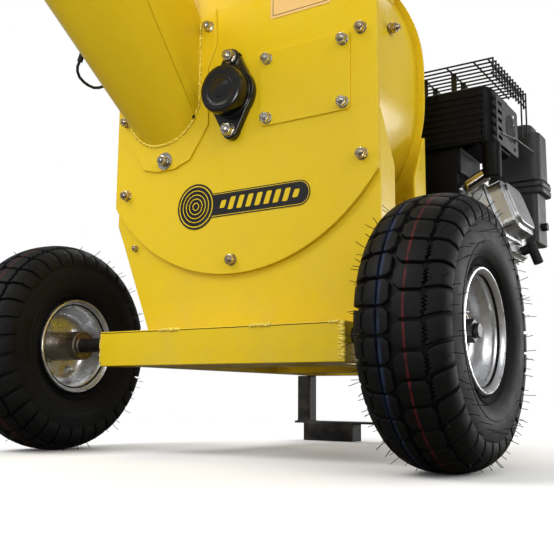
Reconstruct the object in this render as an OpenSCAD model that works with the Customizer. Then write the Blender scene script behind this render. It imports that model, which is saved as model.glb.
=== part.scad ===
// Petrol wood chipper on two wheels: a disc chipper driven by a horizontal engine through two V-belts.
// X runs across the machine (+X is the engine's cylinder side), -Y is the feed side, +Y the engine, Z up.

/* [Running gear] */
// Outer diameter of the tyres
tyre_d = 375; // [330:5:450]
// Widest section of a tyre
tyre_w = 130; // [110:2:150]
// Distance between the two wheel centres
track_w = 760; // [740:5:920]
// Diameter of the rim where the tyre beads sit
bead_d = 144; // [130:2:170]
// Diameter of the axle's thick middle
axle_d = 25; // [22:1:30]
// Diameter of the axle's ends inside the hubs
axle_end_d = 20; // [16:1:21]
// Diameter of a hub barrel
hub_d = 52; // [40:1:60]

/* [Frame] */
// Width of the crossbeam over the axle
beam_w = 478; // [440:2:520]
// Height of the crossbeam and the frame rails
rail_h = 59; // [50:1:70]
// Depth of the crossbeam, front to back
beam_depth = 60; // [50:1:70]
// Outer width of the two frame rails
frame_w = 394; // [340:2:420]
// Width of one rail
rail_w = 40; // [30:1:50]
// Rearmost end of the frame rails
frame_back = 632; // [600:2:720]
// Thickness of folded frame sheet
sheet_t = 4; // [3:0.5:5]
// Side of the square stand legs
leg_w = 34; // [28:1:50]
// Width of one stand foot
foot_w = 128; // [80:2:140]
// Height of one stand foot
foot_h = 39; // [30:1:60]

/* [Chipping chamber] */
// Height of the rotor shaft above the ground
rotor_z = 606; // [580:2:700]
// Outer radius of the chamber's rolled wall
shell_r = 256; // [250:1:290]
// Front face of the chamber
chamber_front = 22; // [20:1:40]
// Depth of the chamber, front face to rear plate
chamber_depth = 186; // [170:2:220]
// How far the chamber's round top is raised above the rotor
top_rise = 50; // [30:2:70]
// Half width of the front and rear plates
plate_half_w = 268; // [266:1:310]
// Thickness of the front plate
front_plate_t = 5; // [4:0.5:8]
// Radius of the flywheel
flywheel_r = 238; // [200:1:240]
// Thickness of the flywheel
flywheel_t = 12; // [8:1:16]
// Diameter of the rotor shaft
shaft_d = 35; // [30:1:40]

/* [Feed and discharge] */
// Width of the feed chute at the front plate
feed_w = 160; // [140:2:164]
// Height of the feed chute at the front plate
feed_h = 217; // [190:2:230]
// Distance of the chute's middle from the shaft, to the left
feed_x = 157; // [155:1:170]
// Rise of the chute for each millimetre forward
feed_slope = 0.886; // [0.8:0.01:1]
// Front end of the hopper mouth
mouth_front = -476; // [-560:2:-440]
// Width of the hopper mouth
mouth_w = 430; // [380:2:440]
// Thickness of the chute sheet
chute_t = 3; // [2:0.5:4]
// Side of the square discharge duct
duct_w = 120; // [100:2:130]
// Height of the top of the discharge duct
duct_top = 1190; // [1120:5:1300]

/* [Drive] */
// Distance of the engine's crankshaft right of the rotor shaft
engine_x = 125; // [100:1:140]
// Height of the crankshaft above the engine's foot
crank_h = 133; // [120:1:140]
// Working radius of the engine pulley
engine_pulley_r = 48; // [40:1:60]
// Working radius of the rotor pulley
rotor_pulley_r = 72; // [60:1:80]
// Gap between the belt guard and the face that the engine's drive shaft comes out of
engine_gap = 12; // [10:1:40]
// Height of the engine's highest fixed piece above its foot
tank_top_h = 440; // [420:2:480]

/* [Hidden] */
$fn = 64;

yellow = [0.87, 0.77, 0.15];
black = [0.06, 0.06, 0.065];
zinc = [0.75, 0.74, 0.7];
rubber = [0.07, 0.07, 0.075];
alloy = [0.72, 0.73, 0.73];
steel = [0.5, 0.5, 0.52];

run_gap = 0.3;        // between pieces of different bodies
fit_gap = 0.06;       // radial clearance of a shaft in its bearing
bolt_gap = 0.4;       // radial clearance of a bolt in its hole
stud_r = 5;           // studs of the chamber, the cover and the chute
bearing_stud_r = 6;
engine_stud_r = 5;
weld_nut_r = 7.5;
small_stud_r = 3;
wide_washer_r = 16;   // under the chute flange's lower nut

axle_z = tyre_d / 2;
rail_z = axle_z - 39.5;                         // underside of the frame
deck_z = rail_z + rail_h;                       // top of the frame
beam_front = -32;
beam_back = beam_front + beam_depth;
leg_in_x = 188;                                 // inner face of a stand leg
leg_y = frame_back - 18;
foot_in_x = 72;
foot_y = frame_back - 21;
foot_half = 22;
deck_t = 6;

plate_back = chamber_front + front_plate_t;     // back of the front plate
flange_t = 4;
wall_front = plate_back + flange_t;             // where the rolled wall starts
rear_y = chamber_front + chamber_depth;         // front of the rear plate
wall_t = 3;
rear_plate_t = 4;
plate_back_y = rear_y + rear_plate_t;
top_z = rotor_z + top_rise;                     // centre of the chamber's round top
rim_r = shell_r + 46;                           // round top of the front plate
rim_low_r = rim_r + 22;                         // its lower edge, a larger circle drawn a little higher
rim_lift = 17;
bolt_ring_r = rim_r - 18;
side_bolt_x = plate_half_w - 26;
flange_in_r = shell_r - 28;                     // opening inside the chamber's front flange

feed_r = feed_w / 2;
feed_bottom = rotor_z - 63;
feed_front = chamber_front - 4;                 // front of the chute's flange
chute_end = feed_front - 278;                   // where the chute meets the mouth
chute_flare = 42;                               // extra half width of the chute's upper end
chute_rise = (feed_front - chute_end) * feed_slope;
mouth_low = feed_bottom + chute_rise + 126;
mouth_high = feed_bottom + feed_h + chute_rise + 231;
rim_t = 10;

neck_x = 150;
neck_y = chamber_front + 98;
neck_half = 72;
neck_top = rotor_z + 340;
neck_flange_t = 6;
neck_flange_half = 88;
turn_disc_r = 86;
collar_r = 70;
duct_x = neck_x;
hinge_x = duct_x - duct_w / 2 + 10;
hinge_z = duct_top - 20;
hinge_pin_r = 4;
cheek_y = duct_w / 2 + 0.6;                     // inside face of a deflector cheek
cheek_t = 2.5;

engine_foot = deck_z + deck_t;
crank_z = engine_foot + crank_h;
tilt = 20;                                      // of the cylinder, above level
pulley_front = plate_back_y + 36;
groove_w = 11;
groove_d = 10;
rib_w = 4;
pulley_w = 2 * groove_w + 3 * rib_w;
pulley_lip = groove_d + 0.6;
guard_front = pulley_front - 6;
guard_back = pulley_front + pulley_w + 10;
engine_front = guard_back + engine_gap;
case_front = engine_front + 6;
case_back = engine_front + 196;
fan_back = case_back + 90;
recoil_back = fan_back + 47;
tank_top = engine_foot + tank_top_h;
tank_h = 92;

wheel_x = track_w / 2;
hub_in = wheel_x - 67;
hub_out = wheel_x + 24;
shoulder_x = hub_in - run_gap;
axle_tip = wheel_x + 45;

// The whole machine is moved along Y so that its box is centred on the origin.
y_shift = -(mouth_front + recoil_back) / 2;

// ---- helpers: rods along an axis, plates drawn in X and Z, bolts, swept cords ----
module y_rod(x, z, y0, y1, r) {
  translate([x, y0, z]) rotate([-90, 0, 0]) cylinder(r = r, h = y1 - y0);
}
module x_rod(y, z, x0, x1, r) {
  translate([x0, y, z]) rotate([0, 90, 0]) cylinder(r = r, h = x1 - x0);
}
module y_plate(y0, y1) {
  translate([0, y1, 0]) rotate([90, 0, 0]) linear_extrude(y1 - y0) children();
}
module x_plate(x0, x1) {
  translate([x0, 0, 0]) rotate([90, 0, 90]) linear_extrude(x1 - x0) children();
}
module box(x0, x1, y0, y1, z0, z1) {
  translate([x0, y0, z0]) cube([x1 - x0, y1 - y0, z1 - z0]);
}
module both_sides() {
  children();
  mirror([1, 0, 0]) children();
}
module round_rect(x0, x1, z0, z1, r) {
  translate([x0 + r, z0]) square([x1 - x0 - 2 * r, z1 - z0]);
  translate([x0, z0 + r]) square([x1 - x0, z1 - z0 - 2 * r]);
  for (x = [x0 + r, x1 - r], z = [z0 + r, z1 - r]) translate([x, z]) circle(r);
}
// Nut, washer and stud on a face that looks along -Y; the shank runs back to y_end.
module y_stud(x, z, y_face, y_end, r) {
  y_rod(x, z, y_face - 1.8, y_face, 2 * r);
  translate([x, y_face - 1.8, z]) rotate([90, 0, 0]) cylinder(r = 1.85 * r, h = 1.7 * r, $fn = 6);
  y_rod(x, z, y_face - 1.8 - 2.3 * r, y_end, r);
}
function unit(v) = v / norm(v);
function ring_at(p, t, r, n) =
  let (side = unit(cross(t, abs(t[2]) > 0.9 ? [1, 0, 0] : [0, 0, 1])), up = cross(side, t))
  [for (i = [0:n - 1]) p + r * (cos(360 * i / n) * side + sin(360 * i / n) * up)];
function heading(path, i) =
  unit(path[min(i + 1, len(path) - 1)] - path[max(i - 1, 0)]);
module swept_cord(path, r, n = 8) {
  rings = [for (i = [0:len(path) - 1]) each ring_at(path[i], heading(path, i), r, n)];
  sides = [for (k = [0:len(path) - 2], i = [0:n - 1]) let (a = k * n + i, b = k * n + (i + 1) % n)
           each [[a, b, b + n], [a, b + n, a + n]]];
  last = (len(path) - 1) * n;
  polyhedron(rings, concat(sides, [[for (i = [n - 1:-1:0]) i]], [[for (i = [0:n - 1]) last + i]]));
}

// ---- outlines in X and Z ----
module chamber_outline(r) {
  translate([0, rotor_z]) circle(r, $fn = 128);
  translate([0, top_z]) circle(r, $fn = 128);
  translate([-r, rotor_z]) square([2 * r, top_rise]);
}
module front_outline() {
  intersection() {
    union() {
      translate([0, rotor_z + rim_lift]) circle(rim_low_r, $fn = 160);
      translate([-plate_half_w, rotor_z + rim_lift]) square(2 * plate_half_w);
    }
    union() {
      translate([0, top_z]) circle(rim_r, $fn = 128);
      translate([-plate_half_w, 0]) square([2 * plate_half_w, top_z]);
    }
    translate([-plate_half_w, 0]) square([2 * plate_half_w, 2 * top_z]);
  }
}
module feed_outline(half_w, bottom, height, corner) {
  translate([-feed_x, 0]) {
    for (x = [corner - half_w, half_w - corner]) translate([x, bottom + corner]) circle(corner);
    translate([corner - half_w, bottom]) square([2 * (half_w - corner) + 0.001, corner]);
    translate([-half_w, bottom + corner]) square([2 * half_w, height - corner]);
  }
}
// Outline of a belt run round the rotor pulley and the engine pulley, at the given radii.
module drive_outline(r_rotor, r_engine) {
  d = [engine_x, crank_z - rotor_z];
  span = norm(d);
  aim = atan2(d[1], d[0]);
  lean = acos((r_rotor - r_engine) / span);
  corners = [for (s = [-1, 1]) [cos(aim + s * lean), sin(aim + s * lean)]];
  in = 0.01;
  translate([0, rotor_z]) circle(r_rotor);
  translate([engine_x, crank_z]) circle(r_engine);
  translate([0, rotor_z]) polygon([(r_rotor - in) * corners[0], d + (r_engine - in) * corners[0],
                                   d + (r_engine - in) * corners[1], (r_rotor - in) * corners[1]]);
}

side_bolts = [[-side_bolt_x - 3, rotor_z - 4], [-side_bolt_x + 3, rotor_z - 145], [0, rotor_z - bolt_ring_r],
              [side_bolt_x, rotor_z - 141], [side_bolt_x, rotor_z + 62], [side_bolt_x, top_z + 135],
              [-side_bolt_x, top_z + 135], [0, top_z + bolt_ring_r]];
upright_bolt = [-222, rotor_z - 243];
wall_bolt = [chamber_front + 79, top_z + 39];   // in Y and Z, on the right wall
cover_x = [54, 223];
cover_z = [rotor_z - 66, rotor_z + 63];
cover_holes = [for (x = [cover_x[0] + 15, cover_x[1] - 12], z = [cover_z[0] + 12, cover_z[1] - 14]) [x, z]];
flange_bolts = [[-54, rotor_z + 136], [-147, feed_bottom - 31]];
bearing_x = 0;
bearing_holes = [[bearing_x, rotor_z - 65], [bearing_x, rotor_z + 65]];

// ---- frame ----
module base_frame() color(yellow) {
  both_sides() difference() {
    box(frame_w / 2 - rail_w, frame_w / 2, beam_back, frame_back, rail_z, deck_z);
    box(frame_w / 2 - rail_w + wall_t, frame_w / 2 - wall_t, beam_back - 1, frame_back + 1,
        rail_z + wall_t, deck_z - wall_t);
  }
  for (y = [beam_back + 40, engine_front + 100, frame_back - rail_w])
    box(-frame_w / 2 + rail_w, frame_w / 2 - rail_w, y, y + rail_w, rail_z, deck_z);
  difference() {
    box(engine_x - 160, engine_x + 110, engine_front - 10, fan_back - 10, deck_z, engine_foot);
    for (x = [-81, 81], y = [60, 165])
      translate([engine_x + x, engine_front + y, deck_z - 1])
        cylinder(r = engine_stud_r + bolt_gap, h = deck_t + 2);
  }
}
module axle_beam() color(yellow) {
  difference() {
    box(-beam_w / 2, beam_w / 2, beam_front, beam_back, rail_z, deck_z);
    box(-beam_w / 2 + sheet_t, beam_w / 2 - sheet_t, beam_front + sheet_t, beam_back + 1,
        rail_z + sheet_t, deck_z - sheet_t);
    x_rod(0, axle_z, -beam_w, beam_w, axle_d / 2 + fit_gap);
  }
}
module axle() color(steel) {
  x_rod(0, axle_z, -shoulder_x, shoulder_x, axle_d / 2);
  both_sides() x_rod(0, axle_z, shoulder_x, axle_tip, axle_end_d / 2);
}
module wheel_nuts() color(black) both_sides() difference() {
  union() {
    x_rod(0, axle_z, hub_out + run_gap, hub_out + 3, 18);
    translate([hub_out + 3, 0, axle_z]) rotate([0, 90, 0]) cylinder(r = 16.5, h = 11, $fn = 6);
  }
  x_rod(0, axle_z, hub_out - 1, hub_out + 20, axle_end_d / 2 + fit_gap);
}
module rear_stand() color(black) {
  both_sides() {
    box(leg_in_x, leg_in_x + leg_w, leg_y - 15, leg_y + 15, foot_h + 5, rail_z);
    box(foot_in_x, foot_in_x + foot_w, foot_y - foot_half, foot_y + foot_half, 0, foot_h);
  }
  bar_x = leg_in_x + leg_w + 4;
  box(-bar_x, bar_x, foot_y - foot_half + 2, foot_y + foot_half, foot_h, foot_h + 5);
}

// ---- wheels ----
module wheel_at(side) {
  translate([side * wheel_x, 0, axle_z]) rotate([0, 90 * side, 0]) children();
}
module tyre() {
  r = tyre_d / 2;
  w = tyre_w / 2;
  bead = bead_d / 2 + 0.4;
  color(rubber) rotate_extrude($fn = 96)
    polygon([[bead, -47], [bead + 18, -50], [bead + 34, -w + 6], [r - 55, -w], [r - 24, -w + 3],
             [r - 6, -w + 16], [r, -w + 34], [r, w - 34], [r - 6, w - 16], [r - 24, w - 3],
             [r - 55, w], [bead + 34, w - 6], [bead + 18, 50], [bead, 47], [bead, 32],
             [bead + 26, 42], [r - 52, w - 10], [r - 18, w - 22], [r - 10, w - 44], [r - 10, -w + 44],
             [r - 18, -w + 22], [r - 52, -w + 10], [bead + 26, -42], [bead, -32]]);
}
module rim() {
  b = bead_d / 2;
  h = hub_d / 2 + 0.05;
  color(zinc) rotate_extrude($fn = 96)
    polygon([[b, -48], [b + 12, -49], [b + 13, -52], [b + 10, -54], [b - 3, -51], [b - 4, -14],
             [b - 10, 2], [b - 18, 6], [h, 6], [h, 10], [b - 16, 10], [b - 4, 18], [b - 3, 51],
             [b + 10, 54], [b + 13, 52], [b + 12, 49], [b, 48]]);
}
module hub() color(steel) difference() {
  translate([0, 0, hub_in - wheel_x]) cylinder(r = hub_d / 2, h = hub_out - hub_in);
  translate([0, 0, hub_in - wheel_x - 1]) cylinder(r = axle_end_d / 2 + fit_gap, h = hub_out - hub_in + 2);
}
module left_tyre() wheel_at(-1) tyre();
module left_rim() wheel_at(-1) rim();
module left_hub() wheel_at(-1) hub();
module right_tyre() wheel_at(1) tyre();
module right_rim() wheel_at(1) rim();
module right_hub() wheel_at(1) hub();

// ---- uprights and chamber ----
upright_low_w = 188;                            // the left edge leans in to here; the right one is straight
upright_knee = rotor_z - 196;
module upright_outline() {
  polygon([[-upright_low_w, deck_z], [plate_half_w, deck_z], [plate_half_w, rotor_z - 69],
           [-plate_half_w, rotor_z - 69], [-plate_half_w, upright_knee], [-upright_low_w, deck_z + 8]]);
}
// Wings folded back along an upright's edges, drawn from the web at y = 0 backwards; their tops slant down.
module upright_wings(depth, high) {
  rise = upright_knee - deck_z - 8;
  spread = plate_half_w - upright_low_w;
  x_plate(plate_half_w - sheet_t, plate_half_w)
    polygon([[0, deck_z], [depth, deck_z], [depth, high - 80], [0, high]]);
  x_plate(-plate_half_w, sheet_t - plate_half_w)
    polygon([[0, upright_knee], [depth, upright_knee], [depth, high - 80], [0, high]]);
  translate([-upright_low_w, 0, deck_z + 8]) rotate([0, -atan2(spread, rise), 0])
    box(0, sheet_t, 0, depth, 1, norm([rise, spread]) - 1);
}
module front_upright() color(yellow) {
  difference() {
    y_plate(wall_front, wall_front + sheet_t) upright_outline();
    y_plate(wall_front - 1, wall_front + sheet_t + 1) chamber_outline(shell_r + 0.2);
    for (p = side_bolts) y_rod(p[0], p[1], wall_front - 1, wall_front + sheet_t + 1, 3 * stud_r);
    y_rod(upright_bolt[0], upright_bolt[1], wall_front - 1, wall_front + sheet_t + 1,
          small_stud_r + bolt_gap);
  }
  translate([0, wall_front + sheet_t, 0]) upright_wings(48, rotor_z - 69);
}
module rear_upright() color(yellow) {
  difference() {
    y_plate(rear_y - sheet_t, rear_y) upright_outline();
    y_plate(rear_y - sheet_t - 1, rear_y + 1) chamber_outline(shell_r + 0.2);
  }
  translate([0, rear_y - sheet_t, 0]) mirror([0, 1, 0]) upright_wings(42, rotor_z - 69);
}
module feed_opening(y0, y1) {
  y_plate(y0, y1)
    feed_outline(feed_r - chute_t, feed_bottom + chute_t, feed_h - 2 * chute_t, feed_r - chute_t);
}
module housing_shell() color(yellow) difference() {
  union() {
    y_plate(wall_front, rear_y) difference() {
      chamber_outline(shell_r);
      chamber_outline(shell_r - wall_t);
    }
    y_plate(plate_back, wall_front) difference() {
      front_outline();
      chamber_outline(flange_in_r);
    }
  }
  feed_opening(plate_back - 1, wall_front + 1);
  for (p = side_bolts) y_rod(p[0], p[1], plate_back - 1, wall_front + 1, stud_r + bolt_gap);
  x_rod(wall_bolt[0], wall_bolt[1], shell_r - 10, shell_r + 1, stud_r + bolt_gap);
  box(neck_x - neck_half, neck_x + neck_half, neck_y - neck_half, neck_y + neck_half,
      top_z, top_z + rim_r);
}
module front_plate() color(yellow) difference() {
  y_plate(chamber_front, plate_back) front_outline();
  feed_opening(chamber_front - 1, plate_back + 1);
  y_rod(0, rotor_z, chamber_front - 1, plate_back + 1, shaft_d / 2 + 8);
  for (p = concat(side_bolts, cover_holes, flange_bolts))
    y_rod(p[0], p[1], chamber_front - 1, plate_back + 1, stud_r + bolt_gap);
  for (p = bearing_holes) y_rod(p[0], p[1], chamber_front - 1, plate_back + 1, bearing_stud_r + bolt_gap);
  box(cover_x[0] + 28, cover_x[1] - 26, chamber_front - 1, plate_back + 1,
      cover_z[0] + 24, cover_z[1] - 26);
}
module rear_plate() color(yellow) difference() {
  y_plate(rear_y, plate_back_y) chamber_outline(plate_half_w);
  y_rod(0, rotor_z, rear_y - 1, plate_back_y + 1, shaft_d / 2 + 8);
  for (p = bearing_holes) y_rod(p[0], p[1], rear_y - 1, plate_back_y + 1, bearing_stud_r + bolt_gap);
}
module inspection_cover() color(yellow) difference() {
  y_plate(chamber_front - 3, chamber_front) round_rect(cover_x[0], cover_x[1], cover_z[0], cover_z[1], 8);
  for (p = cover_holes) y_rod(p[0], p[1], chamber_front - 4, chamber_front + 1, stud_r + bolt_gap);
}
module cover_bolts() color(zinc) for (p = cover_holes)
  y_stud(p[0], p[1], chamber_front - 3, plate_back + 8, stud_r);
module housing_bolts() color(zinc) {
  for (p = side_bolts) {
    y_stud(p[0], p[1], chamber_front, wall_front + 8, stud_r);
    y_rod(p[0], p[1], wall_front + 0.01, wall_front + 7, weld_nut_r);
  }
  y_stud(upright_bolt[0], upright_bolt[1], wall_front, wall_front + 14, small_stud_r);
  wall_stud();
}
module wall_stud() {
  x_rod(wall_bolt[0], wall_bolt[1], shell_r - 12, shell_r + 9, stud_r);
  translate([shell_r, wall_bolt[0], wall_bolt[1]]) rotate([0, 90, 0])
    cylinder(r = 1.85 * stud_r, h = 7, $fn = 6);
}
module chute_bolts() color(zinc) {
  low = flange_bolts[1];
  y_stud(flange_bolts[0][0], flange_bolts[0][1], feed_front, plate_back + 8, stud_r);
  y_rod(low[0], low[1], feed_front - 2.4, feed_front, wide_washer_r);
  y_stud(low[0], low[1], feed_front - 2.39, plate_back + 8, stud_r);
}

// ---- bearings ----
module bearing_body(outward) {
  // Two-bolt flange along Z with a round barrel; drawn on the plane y = 0, standing out along -Y.
  difference() {
    union() {
      y_plate(-13, 0) {
        circle(46);
        for (s = [-1, 1]) translate([0, s * 65]) circle(15);
        polygon([[-45, 10], [-14.5, 69], [14.5, 69], [45, 10],
                 [45, -10], [14.5, -69], [-14.5, -69], [-45, -10]]);
      }
      y_rod(0, 0, -outward, -12, 40);
    }
    y_rod(0, 0, -outward - 1, 1, shaft_d / 2 + fit_gap);
    for (s = [-1, 1]) y_rod(0, s * 65, -14, 1, bearing_stud_r + bolt_gap);
  }
}
module front_bearing_housing() color(black) translate([0, chamber_front, rotor_z]) bearing_body(28);
module rear_bearing_housing() color(black)
  translate([0, plate_back_y, rotor_z]) mirror([0, 1, 0]) bearing_body(28);
module bearing_cap() color(black) difference() {
  translate([0, chamber_front - 28, rotor_z]) union() {
    y_rod(0, 0, -14, 0, 42);
    y_rod(0, 0, -16, -13, 20);
  }
  y_rod(0, rotor_z, chamber_front - 28 - 11, chamber_front - 27, 37);
}
module mounting_bolts() color(zinc) {
  for (p = bearing_holes) {
    y_stud(p[0], p[1], chamber_front - 13, plate_back + 9, bearing_stud_r);
    mirror([0, 1, 0]) y_stud(p[0], p[1], -plate_back_y - 13, -rear_y + 9, bearing_stud_r);
  }
  for (x = [-81, 81], y = [60, 165]) translate([engine_x + x, engine_front + y, 0]) {
    translate([0, 0, deck_z - 8]) cylinder(r = engine_stud_r, h = deck_t + 8 + 12 + 4);
    translate([0, 0, engine_foot + 12]) cylinder(r = 9, h = 6, $fn = 6);
    translate([0, 0, deck_z - 6]) cylinder(r = 9, h = 6, $fn = 6);
  }
}
module anvil() color(steel)
  box(-205, -80, plate_back, plate_back + 28, feed_bottom - 14, feed_bottom + 2);

// ---- feed ----
module chute_flange() color(yellow) difference() {
  y_plate(feed_front, chamber_front) {
    z = rotor_z;
    polygon([[-40, z + 154], [-38, z + 100], [-56, z + 61], [-53, z - 42], [-93, z - 99], [-127, z - 111],
             [-168, z - 111], [-199, z - 103], [-232, z - 52], [-232, z], [-240, z + 24], [-244, z + 154],
             [-244, z + 168], [-40, z + 168]]);
  }
  feed_opening(feed_front - 1, chamber_front + 1);
  for (p = flange_bolts) y_rod(p[0], p[1], feed_front - 1, chamber_front + 1, stud_r + bolt_gap);
  for (p = bearing_holes) y_rod(p[0], p[1], feed_front - 1, chamber_front + 1, 18);
  y_rod(0, rotor_z, feed_front - 1, chamber_front + 1, 48);
}
// A short straight length of the chute from y0 to y1; share runs from 0 at the plate to 1 at the mouth.
module chute_slice(y0, y1, share, inset) {
  y_plate(y0, y1)
    feed_outline(feed_r + share * chute_flare - inset, feed_bottom + share * chute_rise + inset,
                 feed_h - 2 * inset, feed_r + share * 12 - inset);
}
module feed_chute() color(yellow) difference() {
  hull() {
    chute_slice(feed_front - 1, feed_front, 0, 0);
    chute_slice(chute_end, chute_end + 1, 1, 0);
  }
  hull() {
    chute_slice(feed_front - 1, feed_front + 1, 0, chute_t);
    chute_slice(chute_end - 1, chute_end + 1, 1, chute_t);
  }
}
module mouth_slice(y0, y1, inset) {
  y_plate(y0, y1) translate([-feed_x, 0])
    round_rect(-mouth_w / 2 + inset, mouth_w / 2 - inset, mouth_low + inset, mouth_high - inset, 12);
}
module hopper_mouth() color(yellow) difference() {
  edge = mouth_front + rim_t / 2;
  union() {
    hull() {
      chute_slice(chute_end - 1, chute_end, 1, 0);
      mouth_slice(edge - 1, edge, 0);
    }
    y_plate(mouth_front, mouth_front + rim_t) translate([-feed_x, 0])
      round_rect(-mouth_w / 2 - 6, mouth_w / 2 + 6, mouth_low - 6, mouth_high + 6, 16);
  }
  hull() {
    chute_slice(chute_end - 1, chute_end + 1, 1, chute_t);
    mouth_slice(mouth_front - 1, edge - 1, chute_t);
  }
}

// ---- discharge ----
module discharge_neck() color(yellow) difference() {
  union() {
    box(neck_x - neck_half, neck_x + neck_half, neck_y - neck_half, neck_y + neck_half, top_z, neck_top);
    box(neck_x - neck_flange_half, neck_x + neck_flange_half, neck_y - neck_flange_half,
        neck_y + neck_flange_half, neck_top, neck_top + neck_flange_t);
    translate([neck_x, neck_y, neck_top]) cylinder(r = collar_r, h = 36);
  }
  box(neck_x - neck_half + wall_t, neck_x + neck_half - wall_t, neck_y - neck_half + wall_t,
      neck_y + neck_half - wall_t, top_z - 1, neck_top);
  translate([neck_x, neck_y, neck_top - 1]) cylinder(r = collar_r - 4, h = 40);
  y_plate(wall_front - 40, rear_y + 40) chamber_outline(shell_r + 0.1);
}
module discharge_chute() color(yellow) translate([neck_x, neck_y, 0]) {
  base = neck_top + neck_flange_t + run_gap;
  sleeve = 46;
  h = duct_w / 2;
  difference() {
    union() {
      translate([0, 0, base]) cylinder(r = turn_disc_r, h = 5);
      translate([0, 0, base]) cylinder(r = collar_r + run_gap + 4, h = sleeve);
      translate([0, 0, base + sleeve - 4]) cylinder(r = turn_disc_r, h = 4);
      box(-h, h, -h, h, base + sleeve, duct_top);
    }
    translate([0, 0, base - 1]) cylinder(r = collar_r + run_gap, h = sleeve - 3);
    box(-h + chute_t, h - chute_t, -h + chute_t, h - chute_t, base + sleeve - 5, duct_top + 1);
  }
  for (s = [0, 1]) mirror([0, s, 0])
    y_rod(hinge_x - neck_x, hinge_z, h - 1, h + 12, hinge_pin_r);
}
module deflector_outline() {
  polygon([[-28, -12], [-28, 50], [-6, 80], [20, 95], [60, 96], [118, 84], [150, 66], [150, 40], [24, -14]]);
}
module deflector() color(yellow) translate([hinge_x, neck_y, hinge_z]) {
  top = [[-28, 0], [-28, 50], [-6, 80], [20, 95], [60, 96], [118, 84], [150, 66]];   // side view of the hood
  y_plate(-cheek_y, cheek_y)
    polygon(concat(top, [for (i = [len(top) - 1:-1:0]) top[i] + 2.6 * unit([50, 0] - top[i])]));
  for (s = [0, 1]) mirror([0, s, 0]) difference() {
    y_plate(cheek_y, cheek_y + cheek_t) deflector_outline();
    y_rod(0, 0, cheek_y - 1, cheek_y + cheek_t + 1, hinge_pin_r + fit_gap);
  }
}

// ---- labels, with nothing written on them ----
module labels() {
  color(black) y_plate(chamber_front - 0.4, chamber_front)
    round_rect(-111, 151, rotor_z - 208, rotor_z - 166, 12);
  color([0.9, 0.72, 0.45]) y_plate(chamber_front - 0.4, chamber_front)
    round_rect(73, 187, rotor_z + 119, rotor_z + 180, 4);
}

// ---- belt drive ----
module pulley(r_work, bore_r) {
  difference() {
    rotate([-90, 0, 0]) cylinder(r = r_work + pulley_lip, h = pulley_w);
    for (k = [0, 1]) translate([0, rib_w + k * (groove_w + rib_w), 0]) rotate([-90, 0, 0]) difference() {
      cylinder(r = r_work + pulley_lip + 1, h = groove_w);
      translate([0, 0, -1]) cylinder(r = r_work, h = groove_w + 2);
    }
    translate([0, -1, 0]) rotate([-90, 0, 0]) cylinder(r = bore_r + 0.02, h = pulley_w + 2);
  }
}
module rotor_pulley() color(steel)
  translate([0, pulley_front, rotor_z]) pulley(rotor_pulley_r, shaft_d / 2);
module engine_pulley() color(steel)
  translate([engine_x, pulley_front, crank_z]) pulley(engine_pulley_r, 12.7);
module v_belts() color(rubber) for (k = [0, 1]) {
  y = pulley_front + rib_w + k * (groove_w + rib_w) + 0.5;
  y_plate(y, y + groove_w - 1) difference() {
    drive_outline(rotor_pulley_r + 8, engine_pulley_r + 8);
    drive_outline(rotor_pulley_r + run_gap, engine_pulley_r + run_gap);
  }
}
module belt_guard() color(black) {
  difference() {
    y_plate(guard_front, guard_back) drive_outline(rotor_pulley_r + 24, engine_pulley_r + 24);
    y_plate(guard_front + 2, guard_back - 2) drive_outline(rotor_pulley_r + 22, engine_pulley_r + 22);
    y_rod(0, rotor_z, guard_front - 1, guard_front + 3, shaft_d / 2 + 24);
    y_rod(engine_x, crank_z, guard_back - 3, guard_back + 1, 22);
  }
  for (p = [[rotor_pulley_r + 15, rotor_z + 30], [-rotor_pulley_r - 15, rotor_z + 30]])
    y_rod(p[0], p[1], plate_back_y, guard_front + 1, 6);
}

// ---- rotor ----
module rotor_shaft() color(steel)
  y_rod(0, rotor_z, chamber_front - 26, pulley_front + pulley_w + 4, shaft_d / 2);
disc_y = chamber_front + 40;
knife_slots = [20, 200];
module flywheel() color(steel) {
  difference() {
    union() {
      y_rod(0, rotor_z, disc_y, disc_y + flywheel_t, flywheel_r);
      y_rod(0, rotor_z, disc_y + flywheel_t - 1, disc_y + flywheel_t + 50, 38);
      for (a = [0:90:270]) translate([0, 0, rotor_z]) rotate([0, a, 0])
        box(-4, 4, disc_y + flywheel_t - 1, rear_y - 22, 36, flywheel_r - 12);
    }
    y_rod(0, rotor_z, disc_y - 1, disc_y + flywheel_t + 60, shaft_d / 2 + 0.02);
    for (a = knife_slots) translate([0, 0, rotor_z]) rotate([0, a, 0])
      box(18, 44, disc_y - 1, disc_y + flywheel_t - 4, 66, flywheel_r - 12);
  }
}
module knives() color(alloy) for (a = knife_slots) translate([0, 0, rotor_z]) rotate([0, a, 0])
  box(19, 43, disc_y - 2, disc_y + 7.8, 68, flywheel_r - 14);

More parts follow.
